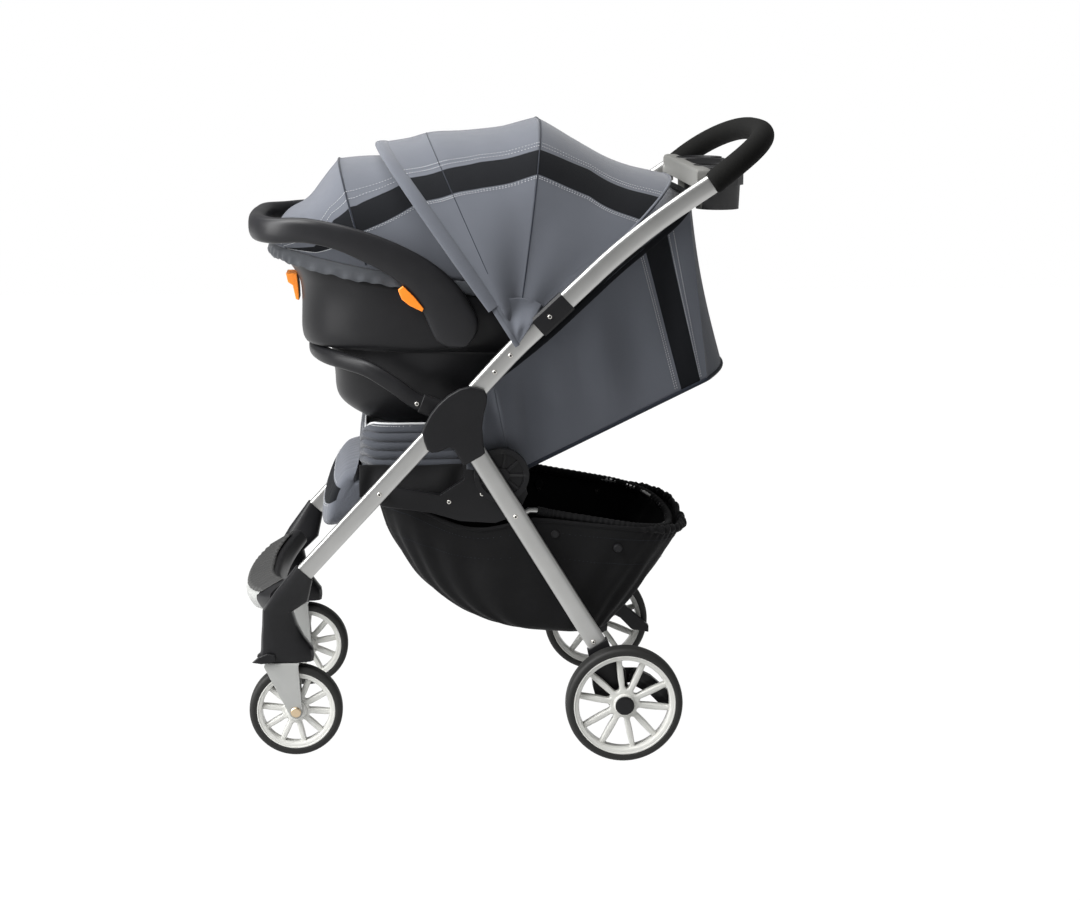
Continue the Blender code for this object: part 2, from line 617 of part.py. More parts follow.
def make_wheels():
    for side, sign in SIDES:
        rear_rim = rim(REAR_TYRE_RADIUS, REAR_TYRE_WIDTH, AXLE_RADIUS + PIN_FIT, REAR_SPOKE_LOOP, 93 + 12 * sign)
        front_rim = rim(FRONT_TYRE_RADIUS, FRONT_TYRE_WIDTH, BOLT_RADIUS + PIN_FIT, FRONT_SPOKE_LOOP,
                        38.5 - 9.5 * sign)
        rear = Vector((0, sign * REAR_WHEEL_Y, REAR_TYRE_RADIUS))
        axis = f"rear_wheel_{side}_axis"
        add(f"rear_tyre_{side}", shifted(tyre(REAR_TYRE_RADIUS, REAR_TYRE_WIDTH), rear), RUBBER, axis)
        add(f"rear_rim_{side}", shifted(rear_rim, rear), RIM_SILVER, axis)
        face = REAR_WHEEL_Y + REAR_TYRE_WIDTH / 2 - 0.0015 + FIT
        cap = turned([(CAP_RADIUS, 0.0), (CAP_RADIUS, 0.7 * CAP_THICKNESS), (0.8 * CAP_RADIUS, CAP_THICKNESS)],
                     20, z=REAR_TYRE_RADIUS, closed=False)
        bmesh.ops.scale(cap, vec=(1, sign, 1), verts=cap.verts)
        add(f"rear_hub_cap_{side}", shifted(cap, Vector((0, sign * face, 0))), BLACK_PLASTIC, axis)

        front = Vector((FRONT_WHEEL_X, sign * FRONT_WHEEL_Y, FRONT_TYRE_RADIUS))
        axis = f"front_wheel_{side}_axis"
        add(f"front_tyre_{side}", shifted(tyre(FRONT_TYRE_RADIUS, FRONT_TYRE_WIDTH), front), RUBBER, axis)
        add(f"front_rim_{side}", shifted(front_rim, front), RIM_SILVER, axis)
        add(f"caster_fork_{side}", make_fork(sign), GREY_PLASTIC, f"caster_{side}_axis")
        head = FRONT_TYRE_WIDTH / 2 + FORK_GAP + FORK_LEG + FIT
        bolt = turned([(BOLT_HEAD_RADIUS * 0.8, -head - BOLT_HEAD), (BOLT_HEAD_RADIUS, -head - BOLT_HEAD / 2),
                       (BOLT_HEAD_RADIUS, -head), (BOLT_RADIUS, -head), (BOLT_RADIUS, head),
                       (BOLT_HEAD_RADIUS, head), (BOLT_HEAD_RADIUS, head + BOLT_HEAD / 2),
                       (BOLT_HEAD_RADIUS * 0.8, head + BOLT_HEAD)], 14, closed=False)
        add(f"front_axle_bolt_{side}", shifted(bolt, front), STEEL, f"caster_{side}_axis")


def make_rear_corners():
    end = Vector(leg_point(REAR_LEG_LENGTH + FIT, REAR_LEG_ANGLE, REAR_LEG_OFFSET))
    across = Vector((-math.sin(REAR_LEG_ANGLE), math.cos(REAR_LEG_ANGLE)))
    half = REAR_LEG_WIDTH / 2 + 0.0025
    left, right = end - across * half, end + across * half
    outline = [tuple(right), (-0.0130, 0.1600), (0.0050, 0.1380), (0.0065, 0.1180), (0.0190, 0.0990),
               (0.0180, 0.0800), (0.0040, 0.0720), (-0.0140, 0.0740), (-0.0270, 0.0900), (-0.0430, 0.0970),
               (-0.0470, 0.1120), (-0.0500, 0.1400), tuple(left)]
    cheek = [(0.0, 0.1400)] + [(BRAKE_X + BRAKE_BOSS_RADIUS * math.cos(a), BRAKE_Z + BRAKE_BOSS_RADIUS * math.sin(a))
                               for a in (math.radians(100 - 32 * i) for i in range(8))] + [(0.0, 0.1130)]
    pedal_low = HOUSING_Y0 + CHEEK + 0.0006
    pedal_high = HOUSING_Y1 - 0.0005
    arm = [(BRAKE_X + BRAKE_BOSS_RADIUS * math.cos(a), BRAKE_Z + BRAKE_BOSS_RADIUS * math.sin(a))
           for a in (math.radians(75 + 30 * i) for i in range(6))]
    arm += [(0.0420, 0.1010), (0.0620, 0.0800), (0.0930, 0.0740), (0.0930, 0.0860), (0.0640, 0.1120),
            (0.0450, 0.1290)]
    for side, sign in SIDES:
        housing = plate(outline, sign * HOUSING_Y0, sign * HOUSING_Y1)
        housing = join(housing, plate(cheek, sign * HOUSING_Y0, sign * (HOUSING_Y0 + CHEEK)),
                       cylinder(BOLT_RADIUS, sign * (HOUSING_Y0 + 0.001), sign * pedal_high, BRAKE_X, BRAKE_Z, 12),
                       cylinder(AXLE_RADIUS, sign * (HOUSING_Y0 + 0.002),
                                sign * (REAR_WHEEL_Y + REAR_TYRE_WIDTH / 2 - 0.002), 0, REAR_TYRE_RADIUS, 12))
        add(f"rear_housing_{side}", housing, BLACK_PLASTIC, "rear_hub_axis")
        pedal = cut(plate(arm, sign * pedal_low, sign * pedal_high),
                    cylinder(BOLT_RADIUS + PIN_FIT, sign * 0.15, sign * 0.30, BRAKE_X, BRAKE_Z, 12))
        add(f"brake_pedal_{side}", pedal, BLACK_PLASTIC, f"brake_{side}_axis")
    add("rear_cross_tube", cylinder(0.0080, -HOUSING_Y0 + FIT, HOUSING_Y0 - FIT, -0.0360, 0.1520, 12),
        BLACK_PLASTIC, "rear_hub_axis")


def push_point(share):
    """The push tube's axis beside the seat and its upward normal, from the hub (0) to the grip (1)."""
    ahead = bend(PUSH_ROUTE, min(share + 0.02, 1.0)) - bend(PUSH_ROUTE, max(share - 0.02, 0.0))
    return bend(PUSH_ROUTE, share), Vector((-ahead.y, ahead.x)).normalized()


def push_path():
    """The push tube's axis from the left hub to the middle of the grip, with its width directions."""
    direction = Vector((math.cos(GRIP_ANGLE), math.sin(GRIP_ANGLE)))
    normal = Vector((-direction.y, direction.x))
    straight = 0.012
    path, widths = [], []
    for share in PUSH_SHARES:
        point, across = push_point(share)
        path.append(xyz(point, -FRONT_LAYER_Y))
        widths.append(Vector((across.x, 0, across.y)))
    bow = []
    steps = 8
    for index in range(steps):
        turn = math.pi / 2 * index / (steps - 1)
        along = straight + (GRIP_REACH - straight) * math.sin(turn) ** (2 / 2.3)
        y = -FRONT_LAYER_Y * math.cos(turn) ** (2 / 2.6) if index < steps - 1 else 0.0
        point = Vector(GRIP_START) + direction * along - normal * GRIP_DROOP * (along / GRIP_REACH) ** 2
        bow.append(xyz(point, y))
    grip_start = xyz(GRIP_START, -FRONT_LAYER_Y)
    return path, widths, grip_start, bow, Vector((normal.x, 0, normal.y))


def mirrored(points):
    return [Vector((p.x, -p.y, p.z)) for p in reversed(points)]


def make_push_tube():
    half, widths, grip_start, bow, width = push_path()
    path = half + [grip_start] + bow
    widths = widths + [width] * (1 + len(bow))
    path = path + mirrored(path)[1:]
    widths = widths + widths[-2::-1]
    section = rounded(10, PUSH_TUBE_WIDTH / 2, TUBE_DEPTH / 2, 3.6)
    tube = loft(tube_rings(path, widths, section))
    angle = math.atan2(PUSH_ROUTE[0][1] - HUB_Z, PUSH_ROUTE[0][0] - HUB_X)
    for sign in (-1, 1):
        tube = join(tube, lug(angle, *PUSH_LUG_Y, PUSH_TUBE_WIDTH / 2 - 0.004, sign),
                    cylinder(0.004, sign * (MIDDLE_BOW_Y + BOW_RADIUS + FIT), sign * FRONT_LAYER_Y,
                             CANOPY_X, CANOPY_Z, 10))
        tube = cut(tube, hub_bore(sign))
    add("push_tube", tube, ALUMINIUM, "hub_axis")

    foam_path = [grip_start] + bow
    foam_path = foam_path + mirrored(foam_path)[1:]
    outer = tube_rings(foam_path, width, rounded(10, GRIP_RADIUS, GRIP_RADIUS, 2.0))
    inner = tube_rings(foam_path, width, rounded(10, PUSH_TUBE_WIDTH / 2 + FIT, TUBE_DEPTH / 2 + FIT, 3.6))
    add("handle_grip", sleeve(outer, inner), FOAM, "hub_axis")

    for side, sign in SIDES:
        stations = [push_point(share) for share in COLLAR_SHARES]
        collar = [xyz(point, sign * FRONT_LAYER_Y) for point, across in stations]
        frames = [Vector((across.x, 0, across.y)) for point, across in stations]
        wall = COLLAR_WALL + 2 * FIT
        outward = Vector((0, sign * COLLAR_OUT, 0))
        outer = tube_rings([point + outward for point in collar], frames,
                           rounded(10, PUSH_TUBE_WIDTH / 2 + wall, COLLAR_DEPTH, 3.6))
        inner = tube_rings(collar, frames, rounded(10, PUSH_TUBE_WIDTH / 2 + 2 * FIT, TUBE_DEPTH / 2 + 2 * FIT, 3.6))
        add(f"push_collar_{side}", sleeve(outer, inner), BLACK_PLASTIC, "hub_axis")


def sleeve(outer, inner):
    """A hollow sleeve from matching rows of outer and inner rings."""
    return loft_closed_rows(outer + inner[::-1])


def loft_closed_rows(rows):
    return loft(rows, closed=True)


def make_tray():
    half = [(TRAY_X0, TRAY_HALF_WIDTH), (TRAY_X0 + 0.024, TRAY_HALF_WIDTH), (TRAY_X0 + 0.028, CUP_Y + 0.056),
            (TRAY_X0 + 0.046, CUP_Y + 0.043), (TRAY_X0 + 0.074, CUP_Y + 0.034), (TRAY_X1 - 0.007, CUP_Y + 0.012),
            (TRAY_X1 - 0.002, CUP_Y - 0.020), (TRAY_X1, CUP_Y - 0.060)]
    tray = slab([(x, y) for x, y in half] + [(x, -y) for x, y in half[::-1]], TRAY_Z0, TRAY_Z1, 0.006)
    ear_y = FRONT_LAYER_Y - TUBE_DEPTH / 2 - FIT
    cups = []
    for sign in (-1, 1):
        y = sign * CUP_Y
        cup = bmesh.new()
        height = TRAY_Z1 - 0.004 - CUP_BOTTOM_Z
        bmesh.ops.create_cone(cup, cap_ends=True, segments=20, radius1=CUP_RADIUS - 0.003, radius2=CUP_RADIUS,
                              depth=height)
        bmesh.ops.translate(cup, verts=cup.verts, vec=(CUP_X, y, CUP_BOTTOM_Z + height / 2))
        well = bmesh.new()
        bmesh.ops.create_cone(well, cap_ends=True, segments=20, radius1=CUP_RADIUS - 0.003 - CUP_WALL,
                              radius2=CUP_RADIUS - CUP_WALL, depth=height)
        bmesh.ops.translate(well, verts=well.verts, vec=(CUP_X, y, CUP_BOTTOM_Z + height / 2 + CUP_WALL + 0.004))
        cups.append(well)
        low_y, high_y = sorted((sign * (TRAY_HALF_WIDTH - 0.02), sign * ear_y))
        tray = join(tray, cup, block((TRAY_X0 + 0.001, low_y, TRAY_Z0 - 0.014),
                                     (TRAY_X0 + 0.0150, high_y, TRAY_Z0 + 0.010)))
    pocket = block((TRAY_X0 + 0.015, -CUP_Y + CUP_RADIUS + 0.006, TRAY_Z1 - 0.019),
                   (TRAY_X1 - 0.012, CUP_Y - CUP_RADIUS - 0.006, TRAY_Z1 + 0.01), 0.006)
    add("parent_tray", cut(tray, *cups, pocket), GREY_PLASTIC, "hub_axis")


def make_footrest():
    """A bow between the front boots, lower and farther forward in the middle."""
    rings, mat_rings = [], []
    end = FOOTREST_END
    for index in range(11):
        y = -end + 2 * end * index / 10
        share = min(abs(y) / 0.19, 1.12)
        centre = Vector((-0.5710 + 0.040 * share ** 2.4, y, 0.2370 + 0.026 * share ** 2.2))
        tilt = math.radians(24 + 8 * share)
        along = Vector((math.cos(tilt), 0, math.sin(tilt)))
        up = Vector((-math.sin(tilt), 0, math.cos(tilt)))
        half_width = 0.0315 - 0.008 * share ** 3
        half_height = 0.0210 - 0.006 * share ** 2
        rings.append(ring(centre, along, up, rounded(14, half_width, half_height, 3.4)))
        if abs(y) < 0.165:
            top = centre + up * (half_height + 2 * FIT)
            mat_rings.append([top + along * a + up * b for a, b in
                              ((-half_width * 0.72, 0.0), (half_width * 0.78, 0.0),
                               (half_width * 0.74, 0.0022), (-half_width * 0.68, 0.0022))])
    add("footrest", loft(rings), GREY_PLASTIC)
    add("footrest_mat", loft(mat_rings), DARK_GREY)


def make_bumper_bar():
    half = [(-0.2670, 0.5460, BAR_Y), (-0.2850, 0.5590, BAR_Y), (-0.3200, 0.5710, BAR_Y),
            (-0.3550, 0.5960, 0.2040), (-0.3950, 0.6190, 0.1900), (-0.4300, 0.6270, 0.1600),
            (-0.4580, 0.6300, 0.1200), (-0.4760, 0.6320, 0.0650), (-0.4820, BAR_FRONT_Z, 0.0)]
    points = [Vector((x, -y, z)) for x, z, y in half[1:]]
    points = points + mirrored(points)[1:]
    path = smooth_path([tuple(p) for p in points], 21)
    sections = []
    for point in path:
        front = max(0.0, min(1.0, (0.200 - abs(point.y)) / 0.05))
        sections.append(rounded(10, BAR_HALF_HEIGHT, BAR_HALF_DEPTH + 0.0045 * front, 2.6))
    bar = loft(tube_rings(path, Vector((0, 0, 1)), sections))
    for sign in (-1, 1):
        low = sign * (BAR_Y - BAR_HALF_DEPTH)
        high = sign * (BAR_Y + BAR_HALF_DEPTH)
        outline = [(-0.3060, 0.5560), polar(0.0190, math.radians(-110)), polar(0.0190, math.radians(-70)),
                   polar(0.0190, math.radians(-30)), polar(0.0190, math.radians(10)), polar(0.0190, math.radians(50)),
                   polar(0.0190, math.radians(90)), (-0.2980, 0.5790)]
        bar = cut(join(bar, plate(outline, low, high)), hub_bore(sign))
    add("bumper_bar", bar, BLACK_PLASTIC)


def make_seat_rails():
    arm = [polar(0.0200, math.radians(a)) for a in (30, 75, 120, 165, 210)]
    outline = arm + [(-0.2520, 0.4900), (-0.2480, 0.4450), (-0.2860, 0.4200), (-0.3750, 0.4360), (-0.3860, 0.4300),
                     (-0.3850, 0.4100), (-0.3750, 0.4030), (-0.3000, 0.3920), (-0.2550, 0.3780), (-0.2000, 0.3740),
                     (-0.1700, 0.3840), (-0.1580, 0.4010), (-0.1490, 0.4200), (-0.1550, 0.4480), (-0.1690, 0.4520),
                     (-0.1760, 0.4690), (-0.1930, 0.4710), (-0.2040, 0.4600), (-0.2150, 0.4800), (-0.2350, 0.5200)]
    for side, sign in SIDES:
        rail = plate(outline, sign * RAIL_Y0, sign * RAIL_Y1, 0.0015)
        leg_face = FRONT_LAYER_Y - TUBE_DEPTH / 2 - FIT
        rail = join(rail, cylinder(0.0085, sign * (RAIL_Y1 - 0.004), sign * leg_face, -0.3740, 0.4230, 12))
        add(f"seat_rail_{side}", cut(rail, hub_bore(sign)), BLACK_PLASTIC)
    add("seat_cross_tube", cylinder(0.0080, -RAIL_Y0 + FIT, RAIL_Y0 - FIT, -0.2350, SEAT_Z0 - 0.0080 - FIT, 12),
        ALUMINIUM)


def make_seat_pad():
    """The seat pad: sewn ribs round its front and sides, the top dished under the carrier."""
    ribs = 5
    rings = []
    x_middle = (SEAT_FRONT_X + SEAT_REAR_X) / 2
    half_x = (SEAT_REAR_X - SEAT_FRONT_X) / 2
    levels = 2 * ribs
    for level in range(levels + 1):
        share = level / levels
        swell = 0.0035 if level % 2 else 0.0
        draw = 0.010 * (2 * share - 1) ** 4
        row = []
        for a, b in rounded(20, half_x - 0.004 + swell - draw, SEAT_HALF_WIDTH - 0.004 + swell - draw, 6.0):
            rise = SEAT_BOLSTER * share * min(1.0, max(0.0, (abs(b) - 0.10) / 0.05))
            rise += 0.014 * share * min(1.0, max(0.0, (-a - 0.070) / 0.03)) * (1 - rise / SEAT_BOLSTER)
            row.append(Vector((x_middle + a, b, SEAT_Z0 + (SEAT_Z1 - SEAT_Z0) * share + rise)))
        rings.append(row)
    top = rings[-1]
    for shrink in (0.86, 0.55):
        row = []
        for point in top:
            y = point.y * shrink
            rise = SEAT_BOLSTER * min(1.0, max(0.0, (abs(y) - 0.10) / 0.05)) if shrink > 0.7 else 0.0
            row.append(Vector((x_middle + (point.x - x_middle) * shrink, y, SEAT_Z1 + 0.8 * rise)))
        rings.append(row)
    add("seat_pad", loft(rings), GREY_CLOTH, smooth=60)


def make_calf_pad():
    """The calf pad: a crowned pillow hanging in front of the seat, ribbed down its face."""
    outline = [(-0.4121, 0.4630), (-0.4380, 0.4530), (-0.4610, 0.4200), (-0.4740, 0.3800), (-0.4750, 0.3540),
               (-0.4620, 0.3480), (-0.4350, 0.3560), (-0.4060, 0.3760), (-0.3900, 0.4100), (-0.3980, 0.4380),
               (-0.4121, 0.4430)]
    root = Vector((-0.4300, 0.4180))
    rings = []
    stations = 19
    for index in range(stations):
        y = CALF_HALF_WIDTH * (2 * index / (stations - 1) - 1)
        crown = (1.0 - min(1.0, abs(y) / (CALF_HALF_WIDTH * 1.004)) ** 3.0) ** (1 / 3.0)
        size = 0.40 + 0.60 * crown
        groove = 0.018 if 1 < index < stations - 2 and index % 2 == 0 else 0.0
        row = []
        for point in outline:
            offset = (Vector(point) - root) * (size - groove)
            row.append(xyz(root + offset, y))
        rings.append(row)
    add("calf_pad", loft(rings), GREY_CLOTH, smooth=60)


def basket_ring(level, count=24):
    """A horizontal loop of the basket between its rim (0) and its floor (1)."""
    fronts = [(-0.3900, 0.4120), (-0.3750, 0.3570), (-0.3470, 0.3040), (-0.3020, 0.2510), (-0.2320, 0.2090),
              (-0.1550, 0.1880)]
    rears = [(0.1130, 0.3480), (0.0810, 0.3000), (0.0480, 0.2540), (0.0160, 0.2150), (-0.0120, 0.1870),
             (-0.0400, 0.1810)]
    widths = [(0.1950,), (0.1950,), (0.1935,), (0.1890,), (0.1790,), (0.1500,)]
    front, rear = bend(fronts, level), bend(rears, level)
    half_width = bend([(w[0], 0.0) for w in widths], level)[0]
    row = []
    for a, b in rounded(count, 1.0, half_width, 4.0):
        share = (a + 1) / 2
        point = front.lerp(rear, share)
        under_rail = max(0.0, 1 - ((point.x + 0.238) / 0.112) ** 2) ** 2
        sag = 0.028 * under_rail * max(0.0, 1 - 2.2 * level)
        row.append(Vector((point.x, b, point.y - sag)))
    return row


def make_basket():
    bm = bmesh.new()
    rows = [[bm.verts.new(p) for p in basket_ring(level / 6)] for level in range(7)]
    count = len(rows[0])
    for high, low in zip(rows, rows[1:]):
        for index in range(count):
            after = (index + 1) % count
            bm.faces.new((high[index], low[index], low[after], high[after]))
    bm.faces.new(rows[-1])
    basket = add("basket", bm, BLACK_CLOTH, smooth=50)
    thicken(basket, 0.0025, -1.0)

    half = [(-0.1600, 0.3880, HOUSING_Y0 - 2 * FIT), (-0.1600, 0.3880, 0.2080), (-0.1560, 0.3900, 0.2010),
            (-0.1400, 0.3930, 0.1915),
            (-0.1050, 0.3840, 0.1840), (-0.0300, 0.3700, 0.1820), (0.0350, 0.3580, 0.1731),
            (0.0800, 0.3480, 0.1200), (0.0950, 0.3440, 0.0)]
    points = [(x, -y, z) for x, z, y in half]
    points += [(x, y, z) for x, z, y in half[-2::-1]]
    path = smooth_path(points, 25)
    add("basket_hoop", loft(tube_rings(path, Vector((0, 0, 1)), rounded(6, 0.0047, 0.0047, 2.0))),
        ALUMINIUM)


def fan_point(x, z, angle, reach, half_width, turn, root, power):
    c, s = math.cos(turn), math.sin(turn)
    y = -math.copysign(abs(c) ** (2 / power), c) * half_width
    height = root + (reach - root) * abs(s) ** (2 / power)
    return Vector((x + height * math.cos(angle), y, z + height * math.sin(angle)))


def fan_sheet(x, z, stations, half_width, columns, root, power=3.0):
    """A cloth stretched over arches that all start beside one pivot; stations give angle and reach."""
    bm = bmesh.new()
    rows = []
    for angle, reach in stations:
        rows.append([bm.verts.new(fan_point(x, z, math.radians(angle), reach, half_width,
                                            math.pi * index / (columns - 1), root, power))
                     for index in range(columns)])
    for first, second in zip(rows, rows[1:]):
        for index in range(columns - 1):
            bm.faces.new((first[index], first[index + 1], second[index + 1], second[index]))
    return bm


def make_bow(name, axis, angle, reach, y, y_low, y_high):
    """A bow: an arch of rod with a flat eye on the pivot at both ends."""
    root = 0.004
    path = [fan_point(CANOPY_X, CANOPY_Z, angle, reach - BOW_UNDER, y, math.pi * index / 18, root, 2.8)
            for index in range(19)]
    out = Vector((-math.sin(angle), 0, math.cos(angle)))
    bow = loft(tube_rings(path, out, rounded(6, BOW_RADIUS, BOW_RADIUS, 2.0)))
    for sign in (-1, 1):
        bow = join(bow, cylinder(0.0100, sign * y_low, sign * y_high, CANOPY_X, CANOPY_Z, 14))
    add(name, bow, DARK_GREY, axis)


def make_canopy():
    stations = [(126, 0.3530), (119, 0.3330), (112, 0.3240), (103, 0.3145), (92, 0.3130), (82, 0.3270),
                (71, 0.3110), (60, 0.3070), (51, 0.3190), (42.3, 0.3470)]
    cloth = fan_sheet(CANOPY_X, CANOPY_Z, stations, CANOPY_HALF_WIDTH, 19, 0.030, 2.8)
    thicken(add("canopy", cloth, GREY_CLOTH, "canopy_front_axis", smooth=50), SHEET)
    make_bow("canopy_front_bow", "canopy_front_axis", FRONT_BOW_ANGLE, FRONT_BOW_REACH, FRONT_BOW_Y,
             FRONT_BOW_Y - BOW_RADIUS, FRONT_BOW_Y + BOW_RADIUS + 0.0002)
    make_bow("canopy_middle_bow", "canopy_middle_axis", MIDDLE_BOW_ANGLE, MIDDLE_BOW_REACH, MIDDLE_BOW_Y,
             MIDDLE_BOW_Y - BOW_RADIUS - 0.0002, MIDDLE_BOW_Y + BOW_RADIUS)


def make_backrest():
    along = Vector((math.cos(BOARD_ANGLE), math.sin(BOARD_ANGLE)))
    up = Vector((-along.y, along.x))
    start = Vector((RECLINE_X, RECLINE_Z))
    corners = [start + along * a + up * b for a, b in
               ((0.0, -BOARD_THICKNESS / 2), (BOARD_LENGTH, -BOARD_THICKNESS / 2),
                (BOARD_LENGTH + 0.004, 0.0), (BOARD_LENGTH, BOARD_THICKNESS / 2),
                (0.0, BOARD_THICKNESS / 2), (-0.006, 0.0))]
    rings = [[xyz(corner, y) for corner in corners]
             for y in (-BOARD_HALF_WIDTH, BOARD_HALF_WIDTH)]
    board = loft(rings)
    for sign in (-1, 1):
        board = join(board, cylinder(0.0045, sign * (BOARD_HALF_WIDTH - 0.006), sign * (RAIL_Y0 - FIT),
                                     RECLINE_X, RECLINE_Z, 10))
    add("backrest_board", board, GREY_CLOTH, "recline_axis")

    bm = bmesh.new()
    rows = []
    stations = 25
    for index in range(stations):
        share = 2 * index / (stations - 1) - 1
        side = abs(share)
        sign = math.copysign(1.0, share)
        if side > 0.30:
            t = (1 - side) / 0.70
            point, across = push_point(0.06 + 0.80 * t)
            under = BACK_UNDER_TUBE + BACK_CLEAR_OF_COLLAR * (1 - abs(2 * t - 1) ** 6)
            top = xyz(point - across * under, sign * BACK_EDGE_Y)
            low = Vector((-0.1720 + 0.3070 * t, sign * BACK_LOW_Y, 0.4470 + 0.1490 * t))
        else:
            t = side / 0.30
            turn = t ** 3
            point, across = push_point(0.86)
            top = xyz(point - across * BACK_UNDER_TUBE, sign * BACK_EDGE_Y * t ** 0.8)
            top += Vector((0.0150, 0, 0.0100)) * (1 - turn)
            low = Vector((0.1730 - 0.0380 * turn, sign * BACK_LOW_Y * t ** 0.8, 0.6100 - 0.014 * turn))
        fold = 0.0035 * math.sin(9 * math.pi * share) if 0.34 < side < 0.97 else 0.0
        row = []
        for level in range(4):
            v = level / 3
            point = top.lerp(low, v)
            bow = math.sin(math.pi * v)
            point.y += -sign * 0.5 * fold * bow
            if side <= 0.30:
                point.x -= 0.006 * bow
            row.append(bm.verts.new(point))
        rows.append(row)
    for first, second in zip(rows, rows[1:]):
        for level in range(3):
            bm.faces.new((first[level], first[level + 1], second[level + 1], second[level]))
    thicken(add("backrest_cloth", bm, GREY_CLOTH, "recline_axis", smooth=50), SHEET)


def shell_ring(front, rear, half_width, dip, count=20, power=2.7, inset=0.0):
    """A loop of the carrier's shell: its head-end and foot-end points, its half width and the rim's dip."""
    front, rear = Vector(front), Vector(rear)
    middle = (front + rear) / 2
    half = (rear - front) / 2
    row = []
    for a, b in rounded(count, half.length - inset, half_width - inset, power):
        share = a / half.length
        point = middle + half * share
        row.append(Vector((point.x, b, point.y - dip * (1 - share * share))))
    return row


COLUMN_BOTTOM_Z = BAR_FRONT_Z + BAR_HALF_HEIGHT - FIT
SHELL_LEVELS = (((-0.3600, 0.5080), (-0.1700, 0.5060), 0.0700, 0.0),
                ((-0.4050, 0.5220), (-0.1050, 0.5260), 0.1150, 0.0),
                ((-0.4370, 0.5520), (-0.0550, 0.5600), 0.1430, 0.0),
                ((-0.4470, 0.5970), (-0.0350, 0.6050), 0.1620, 0.0),
                ((-0.4580, COLUMN_BOTTOM_Z), (-0.0280, 0.6350), 0.1740, 0.0),
                ((-0.4975, COLUMN_BOTTOM_Z + 0.0005), (-0.0270, 0.6400), 0.1780, 0.0),
                ((-0.5030, 0.6650), (-0.0250, 0.6600), 0.1860, 0.005),
                ((-0.5060, 0.7450), (-0.0220, 0.6980), 0.1890, 0.015),
                ((-0.5470, 0.7970), (-0.0150, 0.7380), 0.1810, 0.020))


def make_carrier_shell():
    outer = [shell_ring(*level) for level in SHELL_LEVELS]
    inner = []
    for (front, rear, half_width, dip) in SHELL_LEVELS[::-1]:
        lift = SHELL_WALL * (1.0 if front[1] < 0.56 else 0.25)
        if front == SHELL_LEVELS[-1][0]:
            lift = 0.0
        raised = shell_ring((front[0], front[1] + lift), (rear[0], rear[1] + lift), half_width, dip,
                            inset=SHELL_WALL)
        inner.append(raised)
    shell = loft(outer + inner)
    for sign in (-1, 1):
        boss = cylinder(0.0280, sign * 0.1835, sign * (CARRIER_ARM_Y - CARRIER_ARM_DEPTH / 2 - FIT),
                        CARRIER_PIVOT_X, CARRIER_PIVOT_Z, 20)
        shell = join(shell, boss)
    add("carrier_shell", shell, BLACK_PLASTIC, "carrier_seat", smooth=40)


def make_carrier_liner():
    """The padded liner: it fills the shell's inside, rolls over the rim and hangs as a gathered skirt."""
    gap = SHELL_WALL + 0.0032
    rows = []
    for front, rear, half_width, dip in SHELL_LEVELS[1:]:
        lift = 0.0045 + SHELL_WALL * (1.0 if front[1] < 0.56 else 0.25)
        rows.append(shell_ring((front[0], front[1] + lift), (rear[0], rear[1] + lift), half_width, dip, inset=gap))
    front, rear, half_width, dip = SHELL_LEVELS[-1]

    def rim_ring(rise, inset, front_fall=0.0, waves=0.0):
        row = shell_ring((front[0], front[1] + rise - front_fall), (rear[0], rear[1] + rise), half_width, dip,
                         inset=inset)
        for index, point in enumerate(row):
            point.z += waves * (1 if index % 2 else -1)
        return row
    rows[-1] = rim_ring(0.0014, gap)
    rows.append(rim_ring(0.0030, 0.0010))
    rows.append(rim_ring(0.0022, -0.0014))
    rows.append(rim_ring(-0.0160, -0.0048, 0.0, 0.0015))
    rows.append(rim_ring(-0.0170, -0.0085, 0.0, 0.0015))
    rows.append(rim_ring(0.0020, -0.0065))
    rows.append(rim_ring(LINER_ROLL, 0.0040))
    thick = gap + LINER_THICKNESS
    rows.append(rim_ring(0.0060, thick * 0.8))
    for front, rear, half_width, dip in SHELL_LEVELS[-2:2:-1]:
        rows.append(shell_ring((front[0], front[1] + 0.014), (rear[0], rear[1] + 0.014), half_width, dip,
                               inset=thick))
    front, rear, half_width, dip = SHELL_LEVELS[2]
    rows.append(shell_ring((front[0], front[1] + 0.016), (rear[0], rear[1] + 0.016), half_width * 0.8, dip,
                           inset=thick))
    add("carrier_liner", loft(rows), GREY_CLOTH, "carrier_seat", smooth=50)


